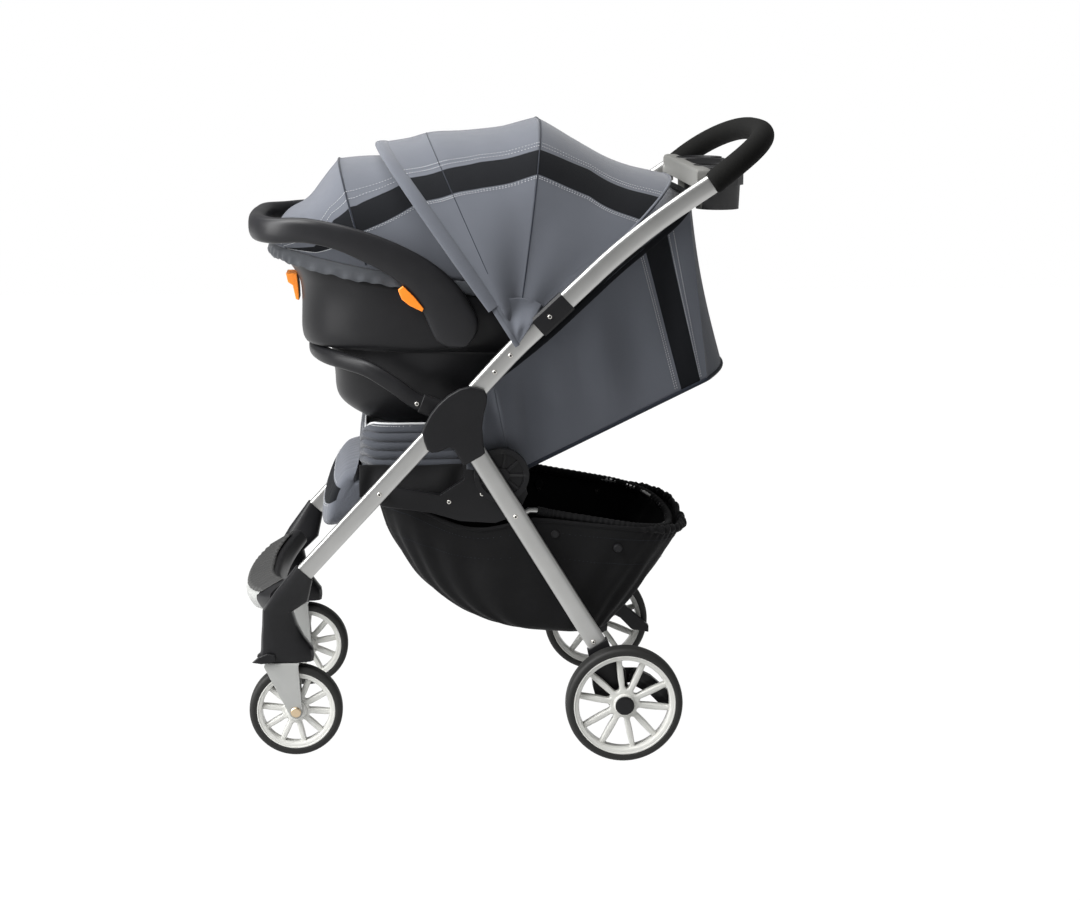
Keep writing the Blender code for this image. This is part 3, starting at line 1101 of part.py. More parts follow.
def make_carrier_handle():
    half = [(-0.2610, 0.6890, CARRIER_ARM_Y, 0.0365), (-0.2820, 0.7290, CARRIER_ARM_Y, 0.0340),
            (-0.3120, 0.7620, CARRIER_ARM_Y, 0.0290), (-0.3480, 0.7870, CARRIER_ARM_Y, 0.0250),
            (-0.3920, 0.8080, 0.2010, 0.0225), (-0.4400, 0.8250, 0.1980, 0.0195),
            (-0.4900, 0.8340, 0.1880, 0.0190), (-0.5360, 0.8320, 0.1640, 0.0200),
            (-0.5620, 0.8330, 0.1200, 0.0205), (-0.5690, 0.8350, 0.0600, 0.0180), (-0.5700, 0.8360, 0.0, 0.0175)]
    left = [(x, -y, z, w) for x, z, y, w in half]
    points = left + [(x, -y, z, w) for x, y, z, w in left[-2::-1]]
    count = 25
    path, sections, widths = [], [], []
    for index in range(count):
        value = [bend([(p[i], 0.0) for p in points], index / (count - 1))[0] for i in range(4)]
        point = Vector(value[:3])
        path.append(point)
        turn = max(0.0, min(1.0, (0.196 - abs(point.y)) / 0.05))
        sections.append(rounded(10, value[3], CARRIER_ARM_DEPTH / 2 + 0.0050 * turn, 3.4))
    for index, point in enumerate(path):
        before, after = path[max(index - 1, 0)], path[min(index + 1, count - 1)]
        along = after - before
        level = Vector((-along.z, 0, along.x))
        if along.x > 0:
            level.negate()
        if level.length < 0.25 * along.length:
            level = Vector((0, 0, -1))
        level = -level.normalized() if level.z < 0 else level.normalized()
        blend = max(0.0, min(1.0, (0.19 - abs(point.y)) / 0.06))
        widths.append((level * (1 - blend) + Vector((0, 0, 1)) * blend).normalized())
    handle = loft(tube_rings(path, widths, sections))
    button = [(-0.3475, 0.7440), (-0.3400, 0.7500), (-0.3225, 0.7330), (-0.3085, 0.7150), (-0.3110, 0.7105),
              (-0.3300, 0.7200), (-0.3420, 0.7300)]
    for sign in (-1, 1):
        disc = cylinder(0.0371, sign * (CARRIER_ARM_Y - CARRIER_ARM_DEPTH / 2 + 0.0002),
                        sign * (CARRIER_ARM_Y + CARRIER_ARM_DEPTH / 2 + 0.0003), CARRIER_PIVOT_X, CARRIER_PIVOT_Z, 26)
        pocket = plate(grown(button, BUTTON_FIT), sign * (BUTTON_Y0 - BUTTON_TRAVEL - FIT), sign * 0.2300)
        handle = cut(join(handle, disc), pocket)
    add("carrier_handle", handle, DARK_GREY, "carrier_handle_axis")
    for side, sign in SIDES:
        add(f"handle_button_{side}", plate(button, sign * BUTTON_Y0, sign * BUTTON_Y1, 0.0010), ORANGE,
            f"handle_button_{side}_axis")
    lever = [(-0.5270, 0.7510), (-0.5095, 0.7510), (-0.5072, 0.7300), (-0.5066, 0.7080), (-0.5120, 0.7095),
             (-0.5165, 0.7320), (-0.5240, 0.7370)]
    add("release_lever", plate(lever, -0.0300, 0.0300), ORANGE, "release_lever_axis")


def make_carrier_canopy():
    """The carrier's hood: arches standing on the padded rim, from the head end back over the baby."""
    feet = (-0.5200, -0.4980, -0.4700, -0.4350, -0.3950, -0.3500, -0.3050, -0.2600, -0.2150)
    ridge = ((-0.5460, 0.8340), (-0.5200, 0.8520), (-0.4960, 0.8660), (-0.4680, 0.8960), (-0.4400, 0.9330),
             (-0.3800, 0.9350), (-0.3250, 0.9420), (-0.2700, 0.9460), (-0.2170, 0.9350))
    front, rear, half_width, dip = SHELL_LEVELS[-1]
    middle, half = (front[0] + rear[0]) / 2, (rear[0] - front[0]) / 2
    columns = 17
    bm = bmesh.new()
    rows = []
    for foot, top in zip(feet, ridge):
        share = (foot - middle) / half
        foot_z = front[1] + (rear[1] - front[1]) * (share + 1) / 2 - dip * (1 - share * share) + HOOD_RISE
        foot_y = half_width * (1 - abs(share) ** 2.7) ** (1 / 2.7)
        row = []
        for index in range(columns):
            turn = math.pi * index / (columns - 1)
            lift = math.sin(turn) ** (2 / 2.4)
            y = -math.copysign(abs(math.cos(turn)) ** (2 / 2.4), math.cos(turn)) * foot_y
            row.append(bm.verts.new((foot + (top[0] - foot) * lift, y, foot_z + (top[1] - foot_z) * lift)))
        rows.append(row)
    for first, second in zip(rows, rows[1:]):
        for index in range(columns - 1):
            bm.faces.new((first[index], first[index + 1], second[index + 1], second[index]))
    thicken(add("carrier_canopy", bm, GREY_CLOTH, "carrier_seat", smooth=50), SHEET)


make_axes()
make_hub()
make_legs()
make_front_corners()
make_wheels()
make_rear_corners()
make_push_tube()
make_tray()
make_footrest()
make_bumper_bar()
make_seat_rails()
make_seat_pad()
make_calf_pad()
make_basket()
make_canopy()
make_backrest()
make_carrier_shell()
make_carrier_liner()
make_carrier_handle()
make_carrier_canopy()
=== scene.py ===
import math

import bmesh
import bpy
from mathutils import Matrix, Vector, noise


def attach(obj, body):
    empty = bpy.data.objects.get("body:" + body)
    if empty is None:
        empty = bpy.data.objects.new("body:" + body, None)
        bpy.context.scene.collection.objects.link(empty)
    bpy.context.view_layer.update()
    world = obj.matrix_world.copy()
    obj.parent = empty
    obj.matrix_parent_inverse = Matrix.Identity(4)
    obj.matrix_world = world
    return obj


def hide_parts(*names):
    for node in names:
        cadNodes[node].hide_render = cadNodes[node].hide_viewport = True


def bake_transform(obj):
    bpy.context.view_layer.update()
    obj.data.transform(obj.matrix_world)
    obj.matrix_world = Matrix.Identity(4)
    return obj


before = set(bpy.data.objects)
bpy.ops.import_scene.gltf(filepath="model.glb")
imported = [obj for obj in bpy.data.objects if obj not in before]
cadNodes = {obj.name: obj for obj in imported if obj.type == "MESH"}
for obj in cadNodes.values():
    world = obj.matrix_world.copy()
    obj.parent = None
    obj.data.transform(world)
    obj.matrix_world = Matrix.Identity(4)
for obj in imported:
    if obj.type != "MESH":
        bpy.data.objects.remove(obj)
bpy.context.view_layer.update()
axleX = 0.1759      # the rear axle's line, behind the part's origin
sides = (("left", -1), ("right", 1))
sideways, upward = Vector((0, 1, 0)), Vector((0, 0, 1))
print("frame loaded:", len(cadNodes), "solids")


# places, measured from the rear axle, the floor and the middle plane

def at(x, y, z):
    return Vector((x + axleX, y, z))


def heading(degrees):
    # the direction of an angle in the side view
    return Vector((math.cos(math.radians(degrees)), 0, math.sin(math.radians(degrees))))


def squareTo(ahead):
    return Vector((-ahead.z, 0, ahead.x))


def framed(first, second, third, origin):
    # the matrix that lays a form out along three directions from a place
    matrix = Matrix((first, second, third)).transposed().to_4x4()
    matrix.translation = origin
    return matrix


def clamp(t):
    return max(0.0, min(1.0, t))


def ease(t):
    t = clamp(t)
    return t * t * (3 - 2 * t)


def along(rows, share):
    # a smooth line through rows of numbers, share runs 0 to 1
    spot = clamp(share) * (len(rows) - 1)
    i = min(int(spot), len(rows) - 2)
    t = spot - i
    near = rows[max(i - 1, 0)], rows[i], rows[i + 1], rows[min(i + 2, len(rows) - 1)]
    return [0.5 * (2 * b + (c - a) * t + (2 * a - 5 * b + 4 * c - d) * t * t
                   + (3 * b - 3 * c + d - a) * t ** 3) for a, b, c, d in zip(*near)]


def between(rows, value):
    # straight lines through (place, number) pairs
    for (a, p), (b, q) in zip(rows, rows[1:]):
        if value <= b or (b, q) == rows[-1]:
            return p + (q - p) * clamp((value - a) / (b - a))


def oval(turn, halfA, halfB, power):
    c, s = math.cos(turn), math.sin(turn)
    return math.copysign(abs(c) ** (2 / power), c) * halfA, math.copysign(abs(s) ** (2 / power), s) * halfB


def mirrorLine(half):
    # a line over both sides from the half that ends on the middle plane, its second number is the side
    return [(x, -y, *rest) for x, y, *rest in half] + list(half[-2::-1])


# shader nodes, their inputs named with _ for each space

def wire(tree, socket, value):
    if isinstance(value, bpy.types.NodeSocket):
        tree.links.new(value, socket)
    else:
        socket.default_value = value


def feed(tree, node, **values):
    for label, value in values.items():
        wire(tree, node.inputs[label.replace("_", " ")], value)
    return node


def addNode(tree, kind, **values):
    return feed(tree, tree.nodes.new("ShaderNode" + kind), **values)


def maths(tree, operation, *values):
    node = addNode(tree, "Math")
    node.operation = operation
    for socket, value in zip(node.inputs, values):
        wire(tree, socket, value)
    return node.outputs[0]


def noiseAt(tree, vector, scale, detail=3.0, rough=0.5):
    return addNode(tree, "TexNoise", Vector=vector, Scale=scale, Detail=detail,
                   Roughness=rough).outputs["Fac"]


def bumpOf(tree, height, strength, distance, **more):
    return addNode(tree, "Bump", Strength=strength, Distance=distance, Height=height, **more).outputs[0]


def colourMix(tree, factor, low, high):
    # mixes two colours or the sockets that give them
    node = addNode(tree, "Mix")
    node.data_type = "RGBA"
    for index, value in ((0, factor), (6, low), (7, high)):
        wire(tree, node.inputs[index], (*value, 1) if isinstance(value, tuple) else value)
    return node.outputs[2]


# shader groups shared by the materials

def newGroup(name, inputs, outputs):
    group = bpy.data.node_groups.new(name, "ShaderNodeTree")
    for label, value in inputs.items():
        socket = group.interface.new_socket(label, in_out="INPUT", socket_type="NodeSocketFloat")
        socket.default_value = value
    for label in outputs:
        group.interface.new_socket(label, in_out="OUTPUT", socket_type="NodeSocketFloat")
    given, leave = group.nodes.new("NodeGroupInput").outputs, group.nodes.new("NodeGroupOutput")
    coords = addNode(group, "TexCoord").outputs
    return group, given, leave, coords["UV"], coords["Object"]


def makeWeaveGroup():
    group, given, leave, uv, place = newGroup("clothWeave", {"Threads": 900.0, "Slub": 60.0},
                                              ["Weave", "Tone", "Crease"])
    x, y, z = addNode(group, "SeparateXYZ", Vector=uv).outputs

    def threads(across, turns):
        return maths(group, "SINE", maths(group, "MULTIPLY",
                                          maths(group, "MULTIPLY", across, given["Threads"]), turns))
    both = maths(group, "MULTIPLY_ADD", threads(x, math.tau * 1.7), 0.35,
                 threads(maths(group, "ADD", x, y), math.tau))
    fine = noiseAt(group, uv, maths(group, "MULTIPLY", given["Slub"], 9.0), 4.0, 0.65)
    broad = noiseAt(group, place, 7.0, 2.0)
    feed(group, leave, Weave=maths(group, "MULTIPLY_ADD", both, 0.37, 0.5),
         Tone=maths(group, "MULTIPLY_ADD", broad, 0.45, maths(group, "MULTIPLY", fine, 0.55)),
         Crease=noiseAt(group, place, 16.0, 2.0, 0.45))
    return group


def makeGrainGroup():
    group, given, leave, uv, place = newGroup("mouldedGrain", {"Grain": 1400.0, "Smudge": 14.0},
                                              ["Height", "Mark", "Wear"])
    edges = addNode(group, "NewGeometry").outputs["Pointiness"]
    worn = maths(group, "MULTIPLY", maths(group, "SUBTRACT", edges, 0.53), 9.0)
    feed(group, leave, Height=noiseAt(group, place, given["Grain"], 2.0),
         Mark=noiseAt(group, place, given["Smudge"], 4.0, 0.6),
         Wear=addNode(group, "Clamp", Value=worn).outputs[0])
    return group


def makeBrushGroup():
    group, given, leave, uv, place = newGroup("brushedLines", {"Lines": 2600.0}, ["Height", "Mark"])
    stretch = addNode(group, "Mapping", Vector=uv, Scale=(0.012, 1.0, 1.0)).outputs[0]
    feed(group, leave, Height=noiseAt(group, stretch, given["Lines"], 2.0),
         Mark=noiseAt(group, place, 22.0, 4.0, 0.6))
    return group


weaveGroup = makeWeaveGroup()
grainGroup = makeGrainGroup()
brushGroup = makeBrushGroup()


# materials

def newMaterial(name, rough, **fixed):
    material = bpy.data.materials.new(name)
    material.use_nodes = True
    tree = material.node_tree
    return material, tree, feed(tree, tree.nodes["Principled BSDF"], Roughness=rough, **fixed)


def placeGroup(tree, group, **values):
    node = addNode(tree, "Group")
    node.node_tree = group
    return feed(tree, node, **values).outputs


def clothMaterial(name, low, high, threads, crease=0.25, rough=0.86, sheen=0.25, weave=0.35):
    material, tree, shader = newMaterial(name, rough, Sheen_Weight=sheen, Sheen_Roughness=0.45,
                                         Specular_IOR_Level=0.12)
    cloth = placeGroup(tree, weaveGroup, Threads=threads)
    soft = bumpOf(tree, cloth["Crease"], crease, 0.006)
    feed(tree, shader, Base_Color=colourMix(tree, cloth["Tone"], low, high),
         Normal=bumpOf(tree, cloth["Weave"], weave, 0.00025, Normal=soft))
    return material


def plasticMaterial(name, low, high, rough, grain=0.12, worn=None, size=1400.0, **fixed):
    material, tree, shader = newMaterial(name, rough, **fixed)
    skin = placeGroup(tree, grainGroup, Grain=size)
    colour = colourMix(tree, skin["Mark"], low, high)
    if worn:
        colour = colourMix(tree, skin["Wear"], colour, worn)
    feed(tree, shader, Base_Color=colour, Normal=bumpOf(tree, skin["Height"], grain, 0.0002),
         Roughness=maths(tree, "MULTIPLY_ADD", skin["Mark"], 0.16, rough - 0.08))
    return material


def metalMaterial(name, low, high, rough, lines=True):
    material, tree, shader = newMaterial(name, rough, Metallic=1.0)
    skin = placeGroup(tree, brushGroup)
    mark = skin["Height" if lines else "Mark"]
    feed(tree, shader, Base_Color=colourMix(tree, skin["Mark"], low, high),
         Roughness=maths(tree, "MULTIPLY_ADD", mark, 0.16, rough - 0.08))
    if lines:
        feed(tree, shader, Normal=bumpOf(tree, mark, 0.06, 0.0002))
    return material


def splitByPlace(material, place, colour):
    # darkens everything behind one place along the object
    tree = material.node_tree
    shader = tree.nodes["Principled BSDF"]
    before = shader.inputs["Base Color"].links[0].from_socket
    x = addNode(tree, "SeparateXYZ", Vector=addNode(tree, "TexCoord").outputs["Object"]).outputs[0]
    feed(tree, shader, Base_Color=colourMix(tree, maths(tree, "GREATER_THAN", x, place), before, colour))


greyCloth = clothMaterial("greyCloth", (0.074, 0.079, 0.093), (0.118, 0.126, 0.146), 850.0)
blackMesh = clothMaterial("blackMesh", (0.003, 0.0034, 0.0045), (0.008, 0.009, 0.011), 520.0, 0.2, 0.85,
                          0.04, 0.6)
basketCloth = clothMaterial("basketCloth", (0.004, 0.004, 0.0045), (0.011, 0.011, 0.0115), 700.0, 0.5, 0.78,
                            0.04, 0.4)
# the seat pad's grey cloth, about half as bright as greyCloth: painted shade for the deep shade under the
# carrier
padClothPaintedShade = clothMaterial("padClothPaintedShade", (0.038, 0.041, 0.049), (0.068, 0.073, 0.085), 850.0, 0.4)
linerCloth = clothMaterial("linerCloth", (0.045, 0.048, 0.054), (0.084, 0.089, 0.098), 700.0, 0.5)
seamDark = clothMaterial("seamDark", (0.01, 0.012, 0.018), (0.022, 0.026, 0.036), 900.0, 0.1)
threadWhite = plasticMaterial("threadWhite", (0.42, 0.43, 0.44), (0.6, 0.61, 0.62), 0.75, 0.1)
blackPlastic = plasticMaterial("blackPlastic", (0.007, 0.007, 0.008), (0.012, 0.012, 0.013), 0.38, 0.1,
                               (0.028, 0.028, 0.029), Specular_IOR_Level=0.2)
darkGloss = plasticMaterial("darkGloss", (0.01, 0.01, 0.011), (0.016, 0.016, 0.018), 0.34, 0.06,
                            (0.04, 0.04, 0.042), Specular_IOR_Level=0.26)
greyPlastic = plasticMaterial("greyPlastic", (0.3, 0.31, 0.3), (0.37, 0.37, 0.36), 0.42, 0.08,
                              (0.5, 0.5, 0.49))
trayGrey = plasticMaterial("trayGrey", (0.12, 0.12, 0.112), (0.17, 0.168, 0.158), 0.45, 0.1,
                           (0.26, 0.26, 0.25))
rimSilver = plasticMaterial("rimSilver", (0.56, 0.56, 0.53), (0.64, 0.64, 0.61), 0.34, 0.04,
                            (0.74, 0.74, 0.71), Coat_Weight=0.25, Coat_Roughness=0.2)
tyreRubber = plasticMaterial("tyreRubber", (0.01, 0.01, 0.0095), (0.02, 0.02, 0.019), 0.58, 0.25,
                             (0.04, 0.04, 0.038), 700.0, Specular_IOR_Level=0.3)
matRubber = plasticMaterial("matRubber", (0.022, 0.022, 0.022), (0.038, 0.038, 0.037), 0.6, 0.3,
                            (0.09, 0.09, 0.088), 900.0, Specular_IOR_Level=0.3)
gripFoam = plasticMaterial("gripFoam", (0.003, 0.003, 0.0028), (0.008, 0.008, 0.0075), 0.9, 0.7, None, 620.0,
                           Specular_IOR_Level=0.15)
orangePlastic = plasticMaterial("orangePlastic", (0.9, 0.2, 0.01), (1.0, 0.28, 0.016), 0.38, 0.06,
                                (1.0, 0.42, 0.1))
aluminium = metalMaterial("brushedAluminium", (0.42, 0.42, 0.41), (0.51, 0.51, 0.5), 0.38)
platedSteel = metalMaterial("platedSteel", (0.62, 0.6, 0.56), (0.74, 0.72, 0.68), 0.24, False)
brassBolt = metalMaterial("brassBolt", (0.6, 0.46, 0.3), (0.74, 0.6, 0.42), 0.3, False)
splitByPlace(trayGrey, 0.13 + axleX, (0.028, 0.028, 0.029))
banded = [greyCloth, blackMesh]
sheetThick = 0.0012


# making and finishing pieces

def linkObject(name, data):
    item = bpy.data.objects.new(name, data)
    bpy.context.scene.collection.objects.link(item)
    return item


def meshOf(bm, name):
    mesh = bpy.data.meshes.new(name)
    bm.to_mesh(mesh)
    bm.free()
    return mesh


def mergeInto(bm, other):
    mesh = meshOf(other, "part")
    bm.from_mesh(mesh)
    bpy.data.meshes.remove(mesh)


def modify(piece, label, kind, **values):
    modifier = piece.modifiers.new(label, kind)
    for key, value in values.items():
        setattr(modifier, key, value)


def gridPiece(across, lengthwise, place, uvSize):
    # a fine grid laid out by place(u, v), both 0 to 1
    bm = bmesh.new()
    layer = bm.loops.layers.uv.new("UVMap")
    bmesh.ops.create_grid(bm, x_segments=across, y_segments=lengthwise, size=0.5)
    for face in bm.faces:
        for loop in face.loops:
            loop[layer].uv = ((loop.vert.co.x + 0.5) * uvSize[0], (loop.vert.co.y + 0.5) * uvSize[1])
    for vert in bm.verts:
        vert.co = place(vert.co.x + 0.5, vert.co.y + 0.5)
    bmesh.ops.remove_doubles(bm, verts=bm.verts, dist=2e-6)
    return bm


def paintFaces(bm, axis, size, isSecond):
    # gives the second material to the faces that isSecond picks by their place along the grid
    layer = bm.loops.layers.uv[0]
    for face in bm.faces:
        place = sum(loop[layer].uv[axis] for loop in face.loops) / len(face.loops) / size
        face.material_index = int(isSecond(place, face))


def capEnds(bm):
    bmesh.ops.holes_fill(bm, edges=[edge for edge in bm.edges if edge.is_boundary], sides=0)
    return bm


def tubePiece(lengthwise, around, lineAt, uvSize, capped=True):
    # lineAt(v) gives the middle, the width direction, half width, half depth and roundness there
    def spineAt(v):
        point, width, halfWidth, halfDepth, power = lineAt(v)
        ahead = lineAt(min(v + 0.004, 1.0))[0] - lineAt(max(v - 0.004, 0.0))[0]
        ahead.normalize()
        width = width - ahead * width.dot(ahead)
        width.normalize()
        return point, width, ahead.cross(width), halfWidth, halfDepth, power
    rows = {}

    def place(u, v):
        key = round(v, 6)
        if key not in rows:
            rows[key] = spineAt(v)
        point, width, depth, halfWidth, halfDepth, power = rows[key]
        a, b = oval(math.tau * u, halfWidth, halfDepth, power)
        return point + width * a + depth * b
    bm = gridPiece(around, lengthwise, place, uvSize)
    return capEnds(bm) if capped else bm


def evenTube(lengthwise, around, uvSize, pointAt, width, halfWidth, halfDepth=None, power=2.0, capped=True):
    # a tube or cord of one section along pointAt(v)
    def lineAt(v):
        return pointAt(v), width, halfWidth, halfDepth or halfWidth, power
    return tubePiece(lengthwise, around, lineAt, uvSize, capped)


def finishPiece(name, bm, look, body="front_frame", replaced=None, slot=None, sharp=40, recalc=True,
                thick=0.0, bevelled=0.0, hold=None):
    if recalc:
        bmesh.ops.recalc_face_normals(bm, faces=bm.faces)
    for face in bm.faces:
        face.smooth = True
    for edge in bm.edges:
        if len(edge.link_faces) == 2 and edge.calc_face_angle(0) > math.radians(sharp):
            edge.smooth = False
    piece = linkObject(name, meshOf(bm, name))
    looks = look if isinstance(look, list) else [look]
    for item in looks:
        piece.data.materials.append(item)
    if thick:
        modify(piece, "thickness", "SOLIDIFY", thickness=thick, offset=0.0)
    if bevelled:
        modify(piece, "edges", "BEVEL", width=bevelled, segments=3, limit_method="ANGLE",
               angle_limit=math.radians(35))
    if hold:
        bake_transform(piece)
    else:
        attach(piece, body)
    if replaced:
        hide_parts(replaced)
    return piece


def clothPiece(name, bm, look, *more, **others):
    finishPiece(name, bm, look, *more, recalc=False, thick=sheetThick, **others)


def sideCloth(name, sign, counts, place, uvSize, look, body="front_frame"):
    # a sheet that is there on both sides and faces outwards on each
    bm = gridPiece(*counts, place, uvSize)
    if sign < 0:
        bmesh.ops.reverse_faces(bm, faces=bm.faces)
    clothPiece(name, bm, look, body)


def dressNode(name, look, width=0.0009):
    node = cadNodes[name]
    node.data.materials.clear()
    node.data.materials.append(look)
    for polygon in node.data.polygons:
        polygon.use_smooth = True
    modify(node, "weld", "WELD", merge_threshold=1e-5)
    if width:
        modify(node, "edges", "BEVEL", width=width, segments=2, limit_method="ANGLE",
               angle_limit=math.radians(32), use_clamp_overlap=True)
    modify(node, "shading", "WEIGHTED_NORMAL")


def addRod(bm, start, end, radius, segments, tip=None):
    ahead = end - start
    matrix = Matrix.Translation((start + end) / 2) @ ahead.to_track_quat("Z", "Y").to_matrix().to_4x4()
    made = bmesh.ops.create_cone(bm, cap_ends=True, segments=segments, radius1=radius, radius2=tip or radius,
                                 depth=ahead.length, matrix=matrix)
    return made["verts"]


thread = {"length": 0.0026, "width": 0.0009, "height": 0.0006}


def addStitches(bm, place, start, end, flip, lift, pitch):
    # short threads lying on the surface place(u, v), in a straight row from one (u, v) to another
    def spotAt(share):
        return [a + (b - a) * share for a, b in zip(start, end)]

    def outAt(share):
        u, v = spotAt(share)
        du = place(min(u + 0.002, 1), v) - place(max(u - 0.002, 0), v)
        dv = place(u, min(v + 0.002, 1)) - place(u, max(v - 0.002, 0))
        return du.cross(dv).normalized() * flip

    def pointAt(share):
        return place(*spotAt(share)) + outAt(share) * lift
    steps = [place(*spotAt(i / 24)) for i in range(25)]
    count = max(2, int(sum((b - a).length for a, b in zip(steps, steps[1:])) / pitch))
    for index in range(count):
        share = (index + 0.5) / count
        ahead = (pointAt(min(share + 0.3 / count, 1)) - pointAt(max(share - 0.3 / count, 0))).normalized()
        across = outAt(share).cross(ahead).normalized()
        up = ahead.cross(across) * thread["height"]
        matrix = framed(ahead * thread["length"] / 2, across * thread["width"] / 2, up / 2,
                        pointAt(share) + up * 0.35)
        bmesh.ops.create_icosphere(bm, subdivisions=1, radius=1.0, matrix=matrix)


def stitchRows(name, place, rows, body="front_frame", look=threadWhite, flip=1, lift=0.0012, pitch=0.004,
               **more):
    bm = bmesh.new()
    for start, end in rows:
        addStitches(bm, place, start, end, flip, lift, pitch)
    finishPiece(name, bm, look, body, **more)


# camera, floor and light

cameraPlace = {"lens": 71.77, "sensor": 36.0, "pitch": 10.98, "yaw": 3.71, "spot": (-0.343, -3.494, 1.131)}
studio = {
    "world": 0.22, "floorSize": 6.0, "floor": (0.5, 0.5, 0.5, 1), "floorRough": 0.9, "floorGlow": 0.955,
    "glow": 1.05,
    "lamps": [("keySoftbox", 120.0, (2.2, 1.6), (-2.3, -1.9, 3.1), (0, 0, 0.5)),
              ("leftSoftbox", 95.0, (1.6, 2.2), (-2.7, -0.9, 1.5), (0, 0, 0.55)),
              ("rightSoftbox", 3.0, (1.6, 2.0), (2.5, -1.2, 1.2), (0, 0, 0.5)),
              ("topSoftbox", 90.0, (2.4, 2.4), (-0.9, -0.1, 2.9), (0, 0, 0.5))],
}


def makeCamera():
    pitch, yaw = math.radians(cameraPlace["pitch"]), math.radians(cameraPlace["yaw"])
    forward = Vector((math.sin(yaw) * math.cos(pitch), math.cos(yaw) * math.cos(pitch), -math.sin(pitch)))
    right = Vector((math.cos(yaw), -math.sin(yaw), 0.0))
    data = bpy.data.cameras.new("camera")
    data.sensor_width = cameraPlace["sensor"]
    data.lens = cameraPlace["lens"]
    camera = linkObject("camera", data)
    camera.matrix_world = framed(right, right.cross(forward), -forward, at(*cameraPlace["spot"]))
    bpy.context.scene.camera = camera


def makeFloor():
    bm = bmesh.new()
    bmesh.ops.create_grid(bm, x_segments=2, y_segments=2, size=studio["floorSize"])
    floor = linkObject("floor", meshOf(bm, "floor"))
    material, tree, shader = newMaterial("paleFloor", studio["floorRough"], Base_Color=studio["floor"])
    rays = addNode(tree, "LightPath").outputs
    seen = maths(tree, "MAXIMUM", rays["Is Camera Ray"], rays["Is Glossy Ray"])
    glow = addNode(tree, "Emission", Strength=studio["glow"])
    blend = addNode(tree, "MixShader")
    wire(tree, blend.inputs[0], maths(tree, "MULTIPLY", seen, studio["floorGlow"]))
    wire(tree, blend.inputs[1], shader.outputs[0])
    wire(tree, blend.inputs[2], glow.outputs[0])
    feed(tree, tree.nodes["Material Output"], Surface=blend.outputs[0])
    floor.data.materials.append(material)


def makeLight():
    world = bpy.data.worlds.new("studio")
    bpy.context.scene.world = world
    world.use_nodes = True
    tree = world.node_tree
    rays = addNode(tree, "LightPath").outputs
    seen = maths(tree, "MAXIMUM", rays["Is Camera Ray"], rays["Is Transmission Ray"])
    feed(tree, tree.nodes["Background"], Color=(1, 1, 1, 1),
         Strength=maths(tree, "MULTIPLY_ADD", seen, 1.0 - studio["world"], studio["world"]))
    for name, power, size, spot, target in studio["lamps"]:
        data = bpy.data.lights.new(name, "AREA")
        data.energy = power
        data.shape = "RECTANGLE"
        data.size, data.size_y = size
        lamp = linkObject(name, data)
        lamp.location = spot
        lamp.rotation_euler = (Vector(target) - Vector(spot)).to_track_quat("-Z", "Y").to_euler()
    bpy.context.scene.view_settings.view_transform = "Standard"


makeCamera()
makeFloor()
makeLight()
print("materials, camera and studio ready")


# frame tubes

tubes = {
    "hub": (-0.267, 0.546), "depth": 0.015, "start": 0.06, "square": 3.6,
    "front": {"angle": -132.9, "offset": 0.0076, "early": 0.02, "length": 0.33, "width": 0.028, "y": 0.238},
    "rear": {"angle": -58.6, "offset": -0.0038, "early": 0.03, "length": 0.428, "width": 0.031, "y": 0.222},
    "pushWidth": 0.03, "pushSquare": 3.2, "pushY": 0.238,
    "route": [(-0.2304, 0.591), (-0.1706, 0.655), (-0.1165, 0.7055), (-0.0654, 0.7535), (-0.0168, 0.798),
              (0.0392, 0.843), (0.0905, 0.8795), (0.129, 0.905)],
    "gripAngle": 39.5, "gripStart": 0.012, "gripReach": 0.126, "gripDroop": 0.011, "gripRadius": 0.018,
    "gripSteps": 14,
}


def legLine(leg, sign):
    ahead = heading(leg["angle"])
    side = squareTo(ahead)
    x, z = tubes["hub"]
    foot = at(x, sign * leg["y"], z) - side * leg["offset"]
    first, last = foot + ahead * (tubes["start"] - leg["early"]), foot + ahead * (leg["length"] + 0.004)

    def lineAt(v):
        return first.lerp(last, v), side, leg["width"] / 2, tubes["depth"] / 2, tubes["square"]
    return lineAt


def pushSpot(share, under=0.0):
    # a point of the push tube's middle line in the side view, moved down across the tube by under
    x, z = along(tubes["route"], share)
    ahead = Vector(along(tubes["route"], share + 0.01)) - Vector(along(tubes["route"], share - 0.01))
    ahead.normalize()
    return Vector((x + ahead.y * under, z - ahead.x * under))


def pushLine():
    # the whole tube from the left foot, round the grip's bow and down to the right foot
    ahead, y = heading(tubes["gripAngle"]), tubes["pushY"]
    normal, (x, z) = squareTo(ahead), tubes["route"][-1]
    half = [(x, y, z) for x, z in tubes["route"]]
    for index in range(tubes["gripSteps"]):
        turn = math.pi / 2 * index / (tubes["gripSteps"] - 1)
        reach = tubes["gripStart"] + (tubes["gripReach"] - tubes["gripStart"]) * math.sin(turn) ** (2 / 2.3)
        side = y * max(math.cos(turn), 0.0) ** (2 / 2.6) if index < tubes["gripSteps"] - 1 else 0.0
        move = ahead * reach - normal * tubes["gripDroop"] * (reach / tubes["gripReach"]) ** 2
        half.append((x + move.x, side, z + move.z))
    return mirrorLine(half), normal


